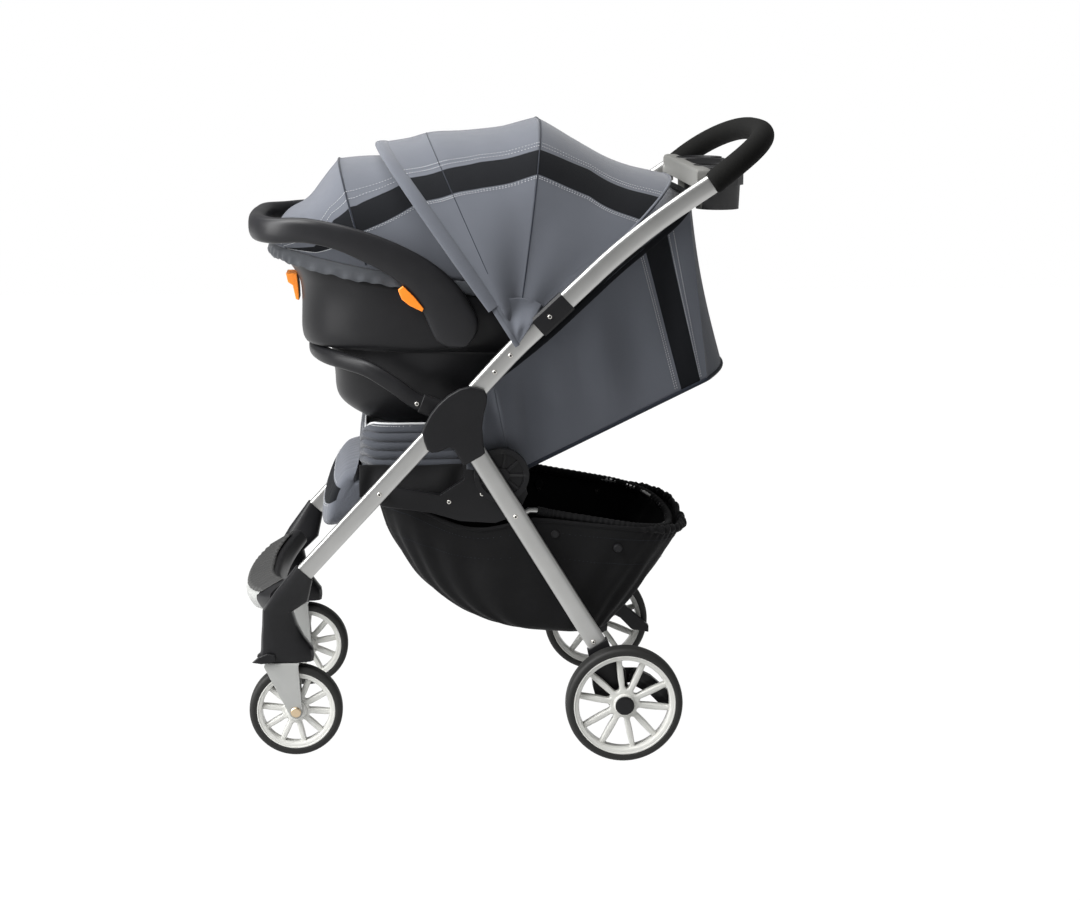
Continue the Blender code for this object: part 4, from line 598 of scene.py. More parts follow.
def makeTubes():
    for side, sign in sides:
        for end, length in (("front", 0.27), ("rear", 0.37)):
            tube = tubePiece(24, 40, legLine(tubes[end], sign), (0.09, length))
            finishPiece(f"{end}_leg_tube_{side}", tube, aluminium, f"{end}_frame", f"{end}_leg_{side}")
    rows, width = pushLine()
    last = len(rows) - 1

    def lineAt(v):
        return at(*along(rows, v)), width, tubes["pushWidth"] / 2, tubes["depth"] / 2, tubes["pushSquare"]
    finishPiece("push_tube_bow", tubePiece(6 * last, 36, lineAt, (0.09, 1.5)), aluminium, "upper_frame",
                "push_tube")
    gripFrom = (len(tubes["route"]) - 1) / last

    def foamAt(v):
        v = gripFrom + (1 - 2 * gripFrom) * v
        edge = min(v - gripFrom, 1 - gripFrom - v) / (1 - 2 * gripFrom)
        radius = tubes["gripRadius"] * (1.0 - 0.12 * (1 - ease(edge / 0.006)))
        return at(*along(rows, v)), width, radius, radius, 2.0
    finishPiece("foam_grip", tubePiece(220, 40, foamAt, (0.11, 0.72)), gripFoam, "upper_frame",
                "handle_grip")


makeTubes()


# wheels

wheels = {
    "rear": {"radius": 0.0925, "width": 0.032, "x": 0.0, "y": 0.25, "loop": 15.9, "phase": 93.0,
             "turn": 12.0},
    "front": {"radius": 0.0739, "width": 0.028, "x": -0.5173, "y": 0.188, "loop": 18.5, "phase": 38.5,
              "turn": -9.5},
    "tyreHeight": 0.012, "band": 0.0087, "hub": 0.017, "bore": 0.0054, "spoke": 0.0082, "pairs": 5,
    "webHalf": 0.0068, "webEdge": 0.0026,
    "tread": [(0.0, 0.93), (0.003, 1.0), (0.0055, 1.0), (0.0085, 0.95), (0.0108, 0.8), (0.0118, 0.55),
              (0.012, 0.25)],
}


def spunRing(profile, centre, segments=96, axis=(0, 1, 0), closed=True):
    # a profile of (radius, place along the axis) spun about the axis
    bm = bmesh.new()
    verts = [bm.verts.new((radius, h * axis[1], h * axis[2])) for radius, h in profile]
    edges = [bm.edges.new(pair) for pair in zip(verts, verts[1:] + (verts[:1] if closed else []))]
    bmesh.ops.spin(bm, geom=verts + edges, cent=(0, 0, 0), axis=axis, angle=math.tau, steps=segments,
                   use_merge=True)
    bmesh.ops.remove_doubles(bm, verts=bm.verts, dist=1e-6)
    bmesh.ops.translate(bm, verts=bm.verts, vec=centre)
    return bm


def mirrorProfile(half):
    return half + [(radius, -y) for radius, y in reversed(half)]


def windowLoop(radius, centre, rimHalf, footHalf, footRadius):
    # one opening of the web: wide at the rim, round at its foot
    foot, narrow, steps = footRadius + 0.004, footHalf * 0.86, 12
    rows = [(radius + (foot - radius) * i / steps,
             centre + rimHalf + (narrow - rimHalf) * (i / steps) ** 1.25)
            for i in range(steps + 1)]
    tip = [(foot - 0.0048 * math.sin(math.pi * i / 8), centre + narrow * math.cos(math.pi * i / 8))
           for i in range(1, 8)]
    rim = [(radius, centre - rimHalf + 2 * rimHalf * i / 7) for i in range(1, 7)]
    loop = rows + tip + [(r, 2 * centre - a) for r, a in reversed(rows)] + rim
    return [(r * math.cos(a), r * math.sin(a)) for r, a in loop]


def webMesh(spec, phase, name):
    # the spoked web as a filled flat curve with round edges
    inner = spec["radius"] - wheels["tyreHeight"] - wheels["band"]
    curve = bpy.data.curves.new(name, "CURVE")
    curve.dimensions = "2D"
    curve.fill_mode = "BOTH"
    curve.extrude = wheels["webHalf"] - wheels["webEdge"]
    curve.bevel_depth = wheels["webEdge"]
    curve.bevel_resolution = 3
    curve.offset = -wheels["webEdge"]

    def addLoop(points):
        spline = curve.splines.new("POLY")
        spline.points.add(len(points) - 1)
        for slot, (x, y) in zip(spline.points, points):
            slot.co = (x, y, 0, 1)
        spline.use_cyclic_u = True
    outer = inner + 0.008
    addLoop([(outer * math.cos(math.tau * i / 96), outer * math.sin(math.tau * i / 96)) for i in range(96)])
    step, reach = math.tau / wheels["pairs"], inner + 0.0005
    scale = (wheels["rear"]["radius"] / spec["radius"]) ** 0.5
    loop, trim = math.radians(spec["loop"]), wheels["spoke"] / 2 / reach
    for pair in range(wheels["pairs"]):
        centre = math.radians(phase) + pair * step
        addLoop(windowLoop(reach, centre, loop - trim, 0.72 * (loop - trim), 0.0255 / scale))
        outside = step / 2 - loop - trim
        addLoop(windowLoop(reach, centre + step / 2, outside, 0.74 * outside, 0.0232 / scale))
    holder = linkObject(name, curve)
    bpy.context.view_layer.update()
    mesh = bpy.data.meshes.new_from_object(holder.evaluated_get(bpy.context.evaluated_depsgraph_get()))
    bpy.data.objects.remove(holder)
    bm = bmesh.new()
    bm.from_mesh(mesh)
    bpy.data.meshes.remove(mesh)
    bmesh.ops.remove_doubles(bm, verts=bm.verts, dist=1e-5)
    bmesh.ops.rotate(bm, verts=bm.verts, cent=(0, 0, 0), matrix=Matrix.Rotation(math.radians(90), 3, "X"))
    return bm


def makeWheel(end, side, sign):
    spec, body = wheels[end], f"{end}_wheel_{side}"
    centre = at(spec["x"], sign * spec["y"], spec["radius"])
    half, inner = spec["width"] / 2, spec["radius"] - wheels["tyreHeight"]
    tread = mirrorProfile([(inner + rise, -half * share) for rise, share in wheels["tread"]])
    finishPiece(f"{end}_tyre_ring_{side}", spunRing(tread, centre), tyreRubber, body, f"{end}_tyre_{side}")
    low, high, edge = inner - wheels["band"], inner - 0.0002, half - 0.0022
    rim = webMesh(spec, spec["phase"] + spec["turn"] * sign, f"web_{end}_{side}")
    bmesh.ops.translate(rim, verts=rim.verts, vec=centre)
    band = [(low, 0.004 - edge), (low + 0.0012, 0.001 - edge), (low + 0.003, -edge), (high - 0.0022, -edge),
            (high - 0.0016, -edge - 0.0012), (high, -edge - 0.001)]
    mergeInto(rim, spunRing(mirrorProfile(band), centre))
    hub, coreEnd = wheels["hub"], 0.0018 - half
    core = [(wheels["bore"], coreEnd), (hub - 0.003, coreEnd), (hub - 0.001, coreEnd + 0.001),
            (hub, coreEnd + 0.0035)]
    mergeInto(rim, spunRing(mirrorProfile(core), centre, 48))
    finishPiece(f"{end}_rim_wheel_{side}", rim, rimSilver, body, f"{end}_rim_{side}", sharp=38)


for wheelEnd in ("rear", "front"):
    for wheelSide, wheelSign in sides:
        makeWheel(wheelEnd, wheelSide, wheelSign)
print("tubes and wheels made")


# bare solids from the frame, dressed

blackSolids = ("hub_cover", "front_boot", "push_collar", "rear_housing", "swivel_lock", "brake_pedal",
               "rear_hub_cap", "seat_rail")


def dressSolids():
    for side, sign in sides:
        for name in blackSolids:
            dressNode(f"{name}_{side}", blackPlastic)
        dressNode(f"caster_fork_{side}", greyPlastic)
        dressNode(f"front_axle_bolt_{side}", brassBolt, 0.0005)
        dressNode(f"hub_pin_{side}", platedSteel, 0.0)
        dressNode(f"handle_button_{side}", orangePlastic)
    dressNode("rear_cross_tube", blackPlastic)
    dressNode("seat_cross_tube", aluminium, 0.0)
    dressNode("basket_hoop", aluminium, 0.0)
    dressNode("parent_tray", trayGrey, 0.0012)
    dressNode("release_lever", orangePlastic)
    dressNode("canopy_front_bow", blackPlastic, 0.0)
    dressNode("canopy_middle_bow", blackPlastic, 0.0)


dressSolids()


# rivets and bolts on both outer faces, each with a flat black disc on its head as painted shade for its
# hollow

rivetRadius = 0.0042
rivets = {
    "upper_frame": [(-0.1174, 0.2483, 0.706), (-0.1773, 0.2457, 0.6465), (-0.2015, 0.2457, 0.6212)],
    "front_frame": [(-0.38, 0.2457, 0.4323), (-0.2721, 0.1992, 0.4093), (-0.2203, 0.1992, 0.4213),
                    (-0.3205, 0.2135, 0.5679)],
    "rear_frame": [(-0.1692, 0.2297, 0.3907), (-0.0467, 0.2297, 0.1867)],
}


def makeRivets():
    for body, places in rivets.items():
        heads, hollowShade = bmesh.new(), bmesh.new()
        for x, y, z in places:
            for side, sign in sides:
                spot, out = at(x, sign * y, z), sideways * sign
                addRod(heads, spot - out * 0.001, spot + out * 0.0012, rivetRadius, 20, rivetRadius * 0.72)
                # a small black disc on the head: painted shade for the rivet's hollow
                addRod(hollowShade, spot + out * 0.0009, spot + out * 0.00135, rivetRadius * 0.42, 14)
        finishPiece(f"rivets_{body}", heads, platedSteel, body, bevelled=0.0003)
        finishPiece(f"rivet_hollow_shade_{body}", hollowShade, blackPlastic, body)


makeRivets()


# bumper bar

bumper = {
    "path": [(-0.267, 0.2068, 0.546), (-0.285, 0.2068, 0.559), (-0.32, 0.2068, 0.571),
             (-0.355, 0.204, 0.596),
             (-0.395, 0.19, 0.619), (-0.43, 0.16, 0.627), (-0.458, 0.12, 0.63), (-0.476, 0.065, 0.632),
             (-0.482, 0.0, 0.6325)],
    "halfHeight": 0.0127, "halfDepth": 0.0065, "swell": 0.0045, "socket": 0.0155, "socketFlat": 0.55,
}


def makeBumper():
    rows = mirrorLine(bumper["path"])

    def lineAt(v):
        x, y, z = along(rows, v)
        front = clamp((0.2 - abs(y)) / 0.05)
        return at(x, y, z), upward, bumper["halfHeight"], bumper["halfDepth"] + bumper["swell"] * front, 2.5
    finishPiece("bumper_bar_bow", tubePiece(160, 36, lineAt, (0.06, 0.8)), blackPlastic,
                replaced="bumper_bar")
    bm = bmesh.new()
    for side, sign in sides:
        # the socket that the bar's end sits in
        first, last = (at(x, sign * abs(y), z) for x, y, z in (along(rows, 0.035), along(rows, 0.115)))
        rod = addRod(bm, first, last, bumper["socket"], 28)
        bmesh.ops.scale(bm, vec=(1, bumper["socketFlat"], 1), space=Matrix.Translation(-first), verts=rod)
    finishPiece("bumper_bar_sockets", bm, blackPlastic, bevelled=0.0012)


makeBumper()
print("solids dressed")


# stroller canopy

canopy = {
    "pivot": (-0.167, 0.67), "halfWidth": 0.2282, "root": 0.03, "power": 2.8, "bulge": 0.015,
    "bulgeFrom": 84,
    "front": [(126, 0.353), (119, 0.335), (112.5, 0.3275), (103, 0.3135), (92, 0.312), (82, 0.329)],
    "rear": [(82, 0.329), (71, 0.311), (60, 0.306), (51, 0.318), (42.3, 0.347)],
    "bandLow": [(42.5, 0.225), (61.5, 0.25), (82.5, 0.225), (103, 0.22), (114.3, 0.21), (126, 0.205)],
    "bandHigh": [(42.3, 0.315), (64.8, 0.335), (82, 0.298), (101, 0.3), (114.3, 0.28), (126, 0.275)],
    "stitches": (0.2935, 0.2875, 0.4065, 0.4125), "holdRadius": 0.12,
}
canopyHolds = {
    "front": ("canopy_front_bow_body", "canopy_middle_bow_body"),
    "rear": ("canopy_middle_bow_body", "upper_frame"),
}
tip = {"tube": 43, "down": 92, "below": 0.0085, "level": 0.0085, "reach": 0.072, "front": 122.5,
       "rear": 57.0,
       "out": 0.2484, "in": 0.2292}
bandFrom, bandTo = 0.30, 0.40


def bandShare(v, low, high):
    # spreads a hood's grid so that the black band's edges, at low and high on the cloth, fall on its lines
    t = between([(0.0, 0.0), (bandFrom, low), (bandTo, high), (0.5, 0.5)], min(v, 1 - v))
    return t if v <= 0.5 else 1 - t


def inBand(v, face):
    return bandFrom < min(v, 1 - v) < bandTo


def bothSides(bases, start, end):
    # rows of stitches along a hood at each share up from its left and its right foot
    return [((start, v), (end, v)) for base in bases for v in (base, 1 - base)]


def canopyBulge(angle, height):
    # how far the cloth stands out beside the push tube, in front of the tube's own line
    return canopy["bulge"] * ease((angle - canopy["bulgeFrom"]) / 34) * (1 - ease(height / 0.24))


def canopyPoint(panel, u, share, lift=0.0):
    # u runs along the panel from its front edge, share from the left foot over the top to the right
    angle, reach = along(canopy[panel], u)
    turn, slope = math.pi * share, math.radians(angle)
    sag = -0.004 * math.sin(math.pi * u) * math.sin(2 * turn) ** 2
    y, height = oval(turn, -canopy["halfWidth"], reach - canopy["root"] + sag, canopy["power"])
    height += canopy["root"] + lift
    x, z = canopy["pivot"]
    low = (turn if turn < 1.57 else math.pi - turn) / 0.7
    y += 0.0016 * math.sin(9 * slope + 3 * turn) * math.exp(-low ** 2) * (1 - abs(2 * u - 1) ** 4)
    y += math.copysign(canopyBulge(angle, height), y)
    return at(x + height * math.cos(slope), y, z + height * math.sin(slope))


def canopySheet(panel):
    def place(u, v):
        angle = along(canopy[panel], u)[0]
        low, high = between(canopy["bandLow"], angle), between(canopy["bandHigh"], angle)
        return canopyPoint(panel, u, bandShare(v, low, high))
    return place


def canopyBlend(panel):
    # the two bows and the ends of a short middle stretch, which finishPiece only takes as a sign to leave
    # the cloth where it is
    x, z = canopy["pivot"]
    start, end = (at(x, 0, z) + heading(canopy[panel][i][0]) * canopy["holdRadius"] for i in (0, -1))
    return (*canopyHolds[panel], start, end)


def canopyTip(sign):
    # the cloth's foot: a fan that ends in a soft point over the pivot, on the outside of the push tube
    foot = at(canopy["pivot"][0], 0, canopy["pivot"][1]) - heading(tip["down"]) * tip["below"]
    level = tip["level"] - tip["below"] * math.sin(math.radians(tip["down"] - tip["tube"]))

    def place(u, v):
        angle = tip["front"] + (tip["rear"] - tip["front"]) * u
        reach = tip["reach"] * v + 0.003 * math.sin(math.pi * u) * (1 - v)
        height = level + reach * math.sin(math.radians(angle - tip["tube"]))
        inner = tip["in"] + canopyBulge(angle, reach)
        over = (1 - ease((height - 0.016) / 0.034)) * (1 - ease((v - 0.45) / 0.55))
        out = inner + max(0.0, tip["out"] - inner) * over
        fold = 0.001 * (1 + math.sin(13 * u + 1)) * math.sin(math.pi * v) ** 2
        return foot + heading(angle) * reach + sideways * sign * (out + fold)
    return place


def canopyRow(panel, u, lift, lowest):
    def pointAt(v):
        return canopyPoint(panel, u, lowest + (1 - 2 * lowest) * v, lift)
    return pointAt


def makeCanopy():
    for panel, start in (("front", 0.0), ("rear", 0.02)):
        place, hold = canopySheet(panel), canopyBlend(panel)
        cloth = gridPiece(40, 120, place, (0.42, 0.95))
        paintFaces(cloth, 1, 0.95, inBand)
        clothPiece(f"canopy_cloth_{panel}", cloth, banded, None, "canopy" if panel == "front" else None,
                   hold=hold)
        stitchRows(f"canopy_stitches_{panel}", place, bothSides(canopy["stitches"], start, 1.0), hold=hold)
    for side, sign in sides:
        place = canopyTip(sign)
        sideCloth(f"canopy_tip_{side}", sign, (30, 30), place, (0.06, 0.06), greyCloth, "upper_frame")
        hem = evenTube(30, 14, (0.02, 0.06), lambda v: place(0.0, v) + sideways * 0.0002 * sign, sideways,
                       0.0016, 0.004, 2.2)
        finishPiece(f"canopy_tip_hem_{side}", hem, greyCloth, "upper_frame")

    # the folded hem round the front bow
    def hemAt(v):
        share = 0.012 + 0.976 * v
        point = canopyPoint("front", 0.028, share, -0.001)
        return point, (canopyPoint("front", 0.0, share) - point).normalized(), 0.0115, 0.0042, 2.2
    hem = tubePiece(110, 20, hemAt, (0.05, 0.95))
    finishPiece("canopy_front_hem", hem, greyCloth, "canopy_front_bow_body")
    lean = Vector((0, 1, 0.2))
    seam = evenTube(110, 8, (0.01, 0.95), canopyRow("rear", 0.0, 0.0006, 0.004), lean, 0.0011)
    finishPiece("canopy_middle_seam", seam, seamDark, "canopy_middle_bow_body")
    hem = evenTube(110, 14, (0.02, 0.95), canopyRow("rear", 1.0, 0.0, 0.002), lean, 0.0026)
    finishPiece("canopy_rear_hem", hem, greyCloth, "upper_frame")
    seam = evenTube(110, 8, (0.01, 0.95), canopyRow("front", 0.37, 0.0004, 0.05), lean, 0.0008)
    finishPiece("canopy_front_seam", seam, seamDark, hold=canopyBlend("front"))


makeCanopy()


# backrest: cloth between the push tubes and the board

back = {
    "edgeY": 0.228, "lowY": 0.1757, "recline": (-0.185, 0.462), "boardAngle": 22.5, "boardLength": 0.32,
    "boardHalf": 0.155, "boardThick": 0.012, "under": 0.0066, "hollow": 0.0145, "slantTop": 0.07,
    "slantLow": -0.02,
    "corner": 0.30, "stripe": (0.345, 0.415), "stitches": (0.338, 0.331, 0.422, 0.429),
}


def backPoint(u, v):
    # u runs from the left side's front edge round the rear to the right, v from the top down
    share = 2 * u - 1
    side, sign = abs(share), math.copysign(1.0, share)
    bow = math.sin(math.pi * v)
    if side > back["corner"]:
        t = (1 - side) / (1 - back["corner"])
        edge = pushSpot(0.06 + 0.8 * t, back["under"] + back["hollow"] * (1 - abs(2 * t - 1) ** 6))
        top = Vector((edge.x, sign * back["edgeY"], edge.y))
        low = Vector((-0.172 + 0.307 * t, sign * back["lowY"], 0.447 + 0.149 * t))
    else:
        t = side / back["corner"]
        square = 1 - t ** 3
        edge = pushSpot(0.86, back["under"])
        top = Vector((edge.x + 0.015 * square, sign * back["edgeY"] * t ** 0.8, edge.y + 0.01 * square))
        low = Vector((0.135 + 0.038 * square, sign * back["lowY"] * t ** 0.8, 0.596 + 0.014 * square))
    point = top.lerp(low, v)
    inner = ease((side - 0.34) / 0.1) * ease((0.98 - side) / 0.06)
    fold = 0.008 * math.sin(15 * side + 0.8 * math.sin(6 * side) + 1.6 * v) + 0.003 * math.sin(34 * side + 3
                                                                                               * v)
    point.y -= sign * (fold + 0.005) * inner * bow
    if side <= back["corner"]:
        point.x -= 0.006 * bow
    return at(*point)


def backSheet(u, v):
    # moves the grid so that the black stripe slants as the seams do
    share = 2 * u - 1
    slant = back["slantTop"] + (back["slantLow"] - back["slantTop"]) * v
    stripe = [(edge, edge + slant) for edge in back["stripe"]]
    side = between([(0, 0), (back["corner"], back["corner"]), *stripe, (1, 1)], abs(share))
    return backPoint((1 + math.copysign(side, share)) / 2, v)


def frontFlap(sign):
    # the cloth's front end, which goes on behind the hub to the seat rail
    def place(u, v):
        point = backPoint((1 + sign) / 2, v).lerp(at(-0.248 + 0.004 * v, sign * 0.2068, 0.588 - 0.125 * v),
                                                  u)
        point.y -= sign * 0.003 * math.sin(3 * math.pi * u) * math.sin(math.pi * v)
        return point
    return place


def makeBackrest():
    low, high = back["stripe"]
    hold = ("front_frame", "backrest", at(-0.02, 0, 0.76), at(0.066, 0, 0.6625))
    bm = gridPiece(200, 40, backSheet, (0.95, 0.3))
    paintFaces(bm, 0, 0.95, lambda u, face: low < abs(2 * u - 1) < high)
    clothPiece("backrest_side_cloth", bm, banded, None, "backrest_cloth", hold=hold)
    rows = [((u, 0.02), (u, 0.97)) for side in back["stitches"] for u in ((1 - side) / 2, (1 + side) / 2)]
    stitchRows("backrest_stitches", backSheet, rows, flip=-1, hold=hold)
    piping = evenTube(200, 12, (0.02, 1.0), lambda v: backPoint(0.01 + 0.98 * v, 1.0), upward, 0.0034, 0.003)
    finishPiece("backrest_piping", piping, seamDark, hold=hold)
    strap = evenTube(240, 12, (0.02, 1.0), lambda v: backPoint(0.002 + 0.996 * v, 0.012), upward, 0.0052,
                     0.0016, 2.4)
    finishPiece("backrest_top_strap", strap, blackMesh, hold=hold)
    for side, sign in sides:
        sideCloth(f"backrest_front_flap_{side}", sign, (24, 24), frontFlap(sign), (0.06, 0.15), greyCloth)

    # the board under the baby's back, in its cloth cover, with a pivot pin on each side
    ahead = heading(back["boardAngle"])
    start = at(back["recline"][0], 0, back["recline"][1])
    bm = bmesh.new()
    matrix = framed(ahead * (back["boardLength"] + 0.004), sideways * 2 * back["boardHalf"],
                    squareTo(ahead) * back["boardThick"], start + ahead * (back["boardLength"] - 0.004) / 2)
    bmesh.ops.create_cube(bm, size=1.0, matrix=matrix)
    bmesh.ops.bevel(bm, geom=bm.edges[:], offset=0.0045, affect="EDGES", segments=3, profile=0.5,
                    material=-1)
    for side, sign in sides:
        addRod(bm, start + sideways * sign * 0.15, start + sideways * sign * 0.1855, 0.0045, 16)
    finishPiece("backrest_padded_board", bm, greyCloth, "backrest", "backrest_board")


makeBackrest()
print("canopy and backrest made")


# seat pad, its skirts and the calf pad

seat = {
    "front": -0.413, "rear": -0.205, "half": 0.17, "low": 0.443, "high": 0.498, "bolster": 0.03, "ribs": 6,
    "skirtFront": -0.412, "skirtRear": -0.15, "skirtIn": 0.17, "skirtOut": 0.1852, "skirtTop": 0.464,
    "skirtLow": 0.416,
}


def seatRise(a, b):
    # the pad's raised sides and front edge
    rise = seat["bolster"] * ease((abs(b) - 0.1) / 0.05)
    return rise, 0.014 * ease((-a - 0.07) / 0.03)


def seatPoint(u, v):
    # u goes round the pad, v from the middle of its underside, up the ribbed side and in over the top
    turn = math.tau * u
    middle, halfX = (seat["front"] + seat["rear"]) / 2, (seat["rear"] - seat["front"]) / 2
    if v < 0.15:
        a, b = oval(turn, (halfX - 0.014) * v / 0.15, (seat["half"] - 0.014) * v / 0.15, 6.0)
        return at(middle + a, b, seat["low"] + 0.0006)
    if v < 0.65:
        share = (v - 0.15) / 0.5
        rib = abs(math.sin(math.pi * share * seat["ribs"])) ** 0.6
        draw = 0.01 * (2 * share - 1) ** 4 - 0.0042 * rib + 0.004
        a, b = oval(turn, halfX - draw, seat["half"] - draw, 6.0)
        bolster, front = (rise * share for rise in seatRise(a, b))
        wave = 0.0008 * math.sin(40 * u + 9 * share)
        height = seat["low"] + 0.0006 + (seat["high"] - seat["low"] - 0.001) * share
        return at(middle + a + wave, b + wave, height + bolster + front * (1 - bolster / seat["bolster"]))
    share = 1 - (v - 0.65) / 0.35
    a, b = oval(turn, (halfX - 0.01) * share, (seat["half"] - 0.01) * share, 2 + 4 * share)
    bolster, front = seatRise(a, b)
    rise = bolster + front * (1 - bolster / seat["bolster"])
    puff = 0.0012 * math.sin(math.pi * b / 0.03) * math.sin(math.pi * share)
    return at(middle + a, b, seat["high"] - 0.0006 + rise * share ** 0.5 + puff)


def seatSkirt(sign):
    # the dark cloth that hangs from the pad down to the seat rail
    def place(u, v):
        wrinkle = 0.003 * math.sin(31 * u + 2.5 * math.sin(9 * u) + 2 * v) * math.sin(math.pi * v)
        x = seat["skirtFront"] + (seat["skirtRear"] - seat["skirtFront"]) * u
        y = seat["skirtIn"] + (seat["skirtOut"] - seat["skirtIn"]) * ease(v + 1.2
                                                                          * max(0.0, u - 0.75)) - 0.002
        z = seat["skirtTop"] + (seat["skirtLow"] - seat["skirtTop"]) * v
        return at(x, sign * (y + wrinkle * 0.6), z + 0.4 * wrinkle)
    return place


calf = {
    "outline": [(-0.4121, 0.463), (-0.438, 0.453), (-0.461, 0.42), (-0.474, 0.38), (-0.475, 0.354),
                (-0.462, 0.348),
                (-0.435, 0.356), (-0.406, 0.376), (-0.39, 0.41), (-0.398, 0.438), (-0.4121, 0.443)],
    "root": (-0.43, 0.418), "half": 0.152, "grooves": 14, "stripe": (0.155, 0.245),
    "stitches": (0.148, 0.253, 0.262),
}


def calfPoint(u, v):
    # u goes round the section, v across from left to right
    y = calf["half"] * (2 * v - 1)
    crown = (1.0 - min(1.0, abs(y) / (calf["half"] * 1.0005)) ** 3.0) ** (1 / 3.0)
    x, z = along(calf["outline"] + calf["outline"][:1], u)
    size = (0.4 + 0.6 * crown) * (0.985 - 0.02 * (1 - abs(math.sin(math.pi * v * calf["grooves"])) ** 0.5))
    return at(calf["root"][0] + (x - calf["root"][0]) * size, y,
              calf["root"][1] + (z - calf["root"][1]) * size)


def makePads():
    # the seat pad takes the darkened cloth, painted shade from the carrier above it
    pad = finishPiece("seat_cushion", gridPiece(144, 120, seatPoint, (1.0, 0.42)), padClothPaintedShade,
                      replaced="seat_pad", sharp=70)
    stitchRows("seat_stitches", seatPoint, [((0.0, v), (1.0, v)) for v in (0.17, 0.625)], lift=0.001,
               pitch=0.0042)
    piping = evenTube(300, 10, (0.01, 1.0), lambda v: seatPoint(v, 0.652), upward, 0.0018, capped=False)
    finishPiece("seat_piping", piping, threadWhite)
    for side, sign in sides:
        sideCloth(f"seat_skirt_{side}", sign, (120, 16), seatSkirt(sign), (0.26, 0.05), basketCloth)
    low, high = calf["stripe"]
    bm = capEnds(gridPiece(88, 168, calfPoint, (0.34, 0.31)))
    paintFaces(bm, 0, 0.34, lambda u, face: low < u < high)
    pad = finishPiece("calf_cushion", bm, banded, replaced="calf_pad", sharp=70)
    rows = [((u, 0.03), (u, 0.97)) for u in calf["stitches"]]
    stitchRows("calf_stitches", calfPoint, rows, flip=-1, lift=0.001)


# the slotted black discs that hold the backrest's angle

ratchet = {"x": -0.19, "z": 0.453, "radius": 0.043, "rim": 0.0345, "hub": 0.012, "inner": 0.2002,
           "outer": 0.213,
           "ribs": 9, "rib": 0.0045}


def washer(inner, outer, near, far):
    return [(inner, near), (outer, near), (outer, far), (inner, far)]


def makeRatchets():
    for side, sign in sides:
        spot = at(ratchet["x"], 0, ratchet["z"])
        near, far = sorted((sign * ratchet["inner"], sign * ratchet["outer"]))
        middle, length = (near + far) / 2, ratchet["rim"] - ratchet["hub"] + 0.004
        disc = spunRing(washer(ratchet["rim"], ratchet["radius"], near, far), spot, 64)
        mergeInto(disc, spunRing(washer(0.002, ratchet["hub"], near, far), spot, 32))
        mergeInto(disc, spunRing(washer(0.002, ratchet["rim"] + 0.001, middle - 0.002, middle + 0.002), spot,
                                 64))
        for index in range(ratchet["ribs"]):
            out = heading(360 * index / ratchet["ribs"])
            origin = spot + out * (ratchet["hub"] - 0.002 + length / 2) + sideways * middle
            matrix = framed(out * length, sideways * (far - near - 0.003), squareTo(out) * ratchet["rib"],
                            origin)
            bmesh.ops.create_cube(disc, size=1.0, matrix=matrix)
        finishPiece(f"backrest_ratchet_{side}", disc, blackPlastic, bevelled=0.0006)


makePads()
makeRatchets()


# basket: its levels from the rim down are front x and z, rear x and z and half the width

basket = {
    "levels": [(-0.39, 0.412, 0.113, 0.348, 0.195), (-0.375, 0.357, 0.081, 0.3, 0.195),
               (-0.347, 0.304, 0.048, 0.254, 0.1935), (-0.302, 0.251, 0.016, 0.215, 0.189),
               (-0.232, 0.209, -0.012, 0.187, 0.179), (-0.155, 0.188, -0.04, 0.181, 0.15)],
    "floorFrom": 0.86, "snaps": [(-0.1054, 0.3544), (-0.0055, 0.3298)],
    "eyelets": [(0.246, 0.105), (0.197, 0.085)],
    "hoop": [(-0.16, 0.207, 0.388), (-0.156, 0.201, 0.39), (-0.14, 0.1915, 0.393), (-0.105, 0.184, 0.384),
             (-0.03, 0.182, 0.37), (0.035, 0.1731, 0.358), (0.08, 0.12, 0.348), (0.095, 0.0, 0.344)],
}


def basketPoint(u, v):
    # u goes round, v from the rim to the middle of the floor
    level = min(v / basket["floorFrom"], 1.0)
    shrink = 1.0 if v <= basket["floorFrom"] else 1 - (v - basket["floorFrom"]) / (1 - basket["floorFrom"])
    frontX, frontZ, rearX, rearZ, half = along(basket["levels"], level)
    a, b = oval(math.tau * u, shrink, half * shrink, 4.0)
    x, z = (front + (rear - front) * (a + 1) / 2 for front, rear in ((frontX, rearX), (frontZ, rearZ)))
    underRail = max(0.0, 1 - ((x + 0.238) / 0.112) ** 2) ** 2
    sag = 0.028 * underRail * max(0.0, 1 - 2.2 * level)
    ripple = 0.0016 * math.sin(23 * math.tau * u + 4 * level) * ease(level
                                                                     / 0.3) * (1 - ease((level - 0.8) / 0.2))
    ripple += 0.003 * noise.noise(Vector((x * 14, b * 14, level * 5))) * ease(level / 0.15)
    ripple += 0.0022 * math.sin(64 * math.tau * u) * ease((a - 0.55) / 0.3) * (1 - ease(level / 0.12))
    out = 1 + ripple / 0.19 * (1 if shrink > 0.99 else shrink)
    return at(x + (a * ripple if shrink > 0.9 else 0), b * out, z - sag)


def makeEyelets():
    rings, holes = bmesh.new(), bmesh.new()
    for u, v in basket["eyelets"]:
        for turn in (u, 1 - u):
            spot = basketPoint(turn, v)
            inward = Vector((at(-0.14, 0, 0).x - spot.x, -spot.y, 0)).normalized()
            inward = Vector((inward.x * 0.3, inward.y, 0)).normalized()
            addRod(rings, spot, spot + inward * 0.0026, 0.0048, 20, 0.0036)
            addRod(holes, spot + inward * 0.0018, spot + inward * 0.0029, 0.0022, 14)
    finishPiece("basket_eyelets", rings, platedSteel)
    finishPiece("basket_eyelet_holes", holes, blackPlastic)


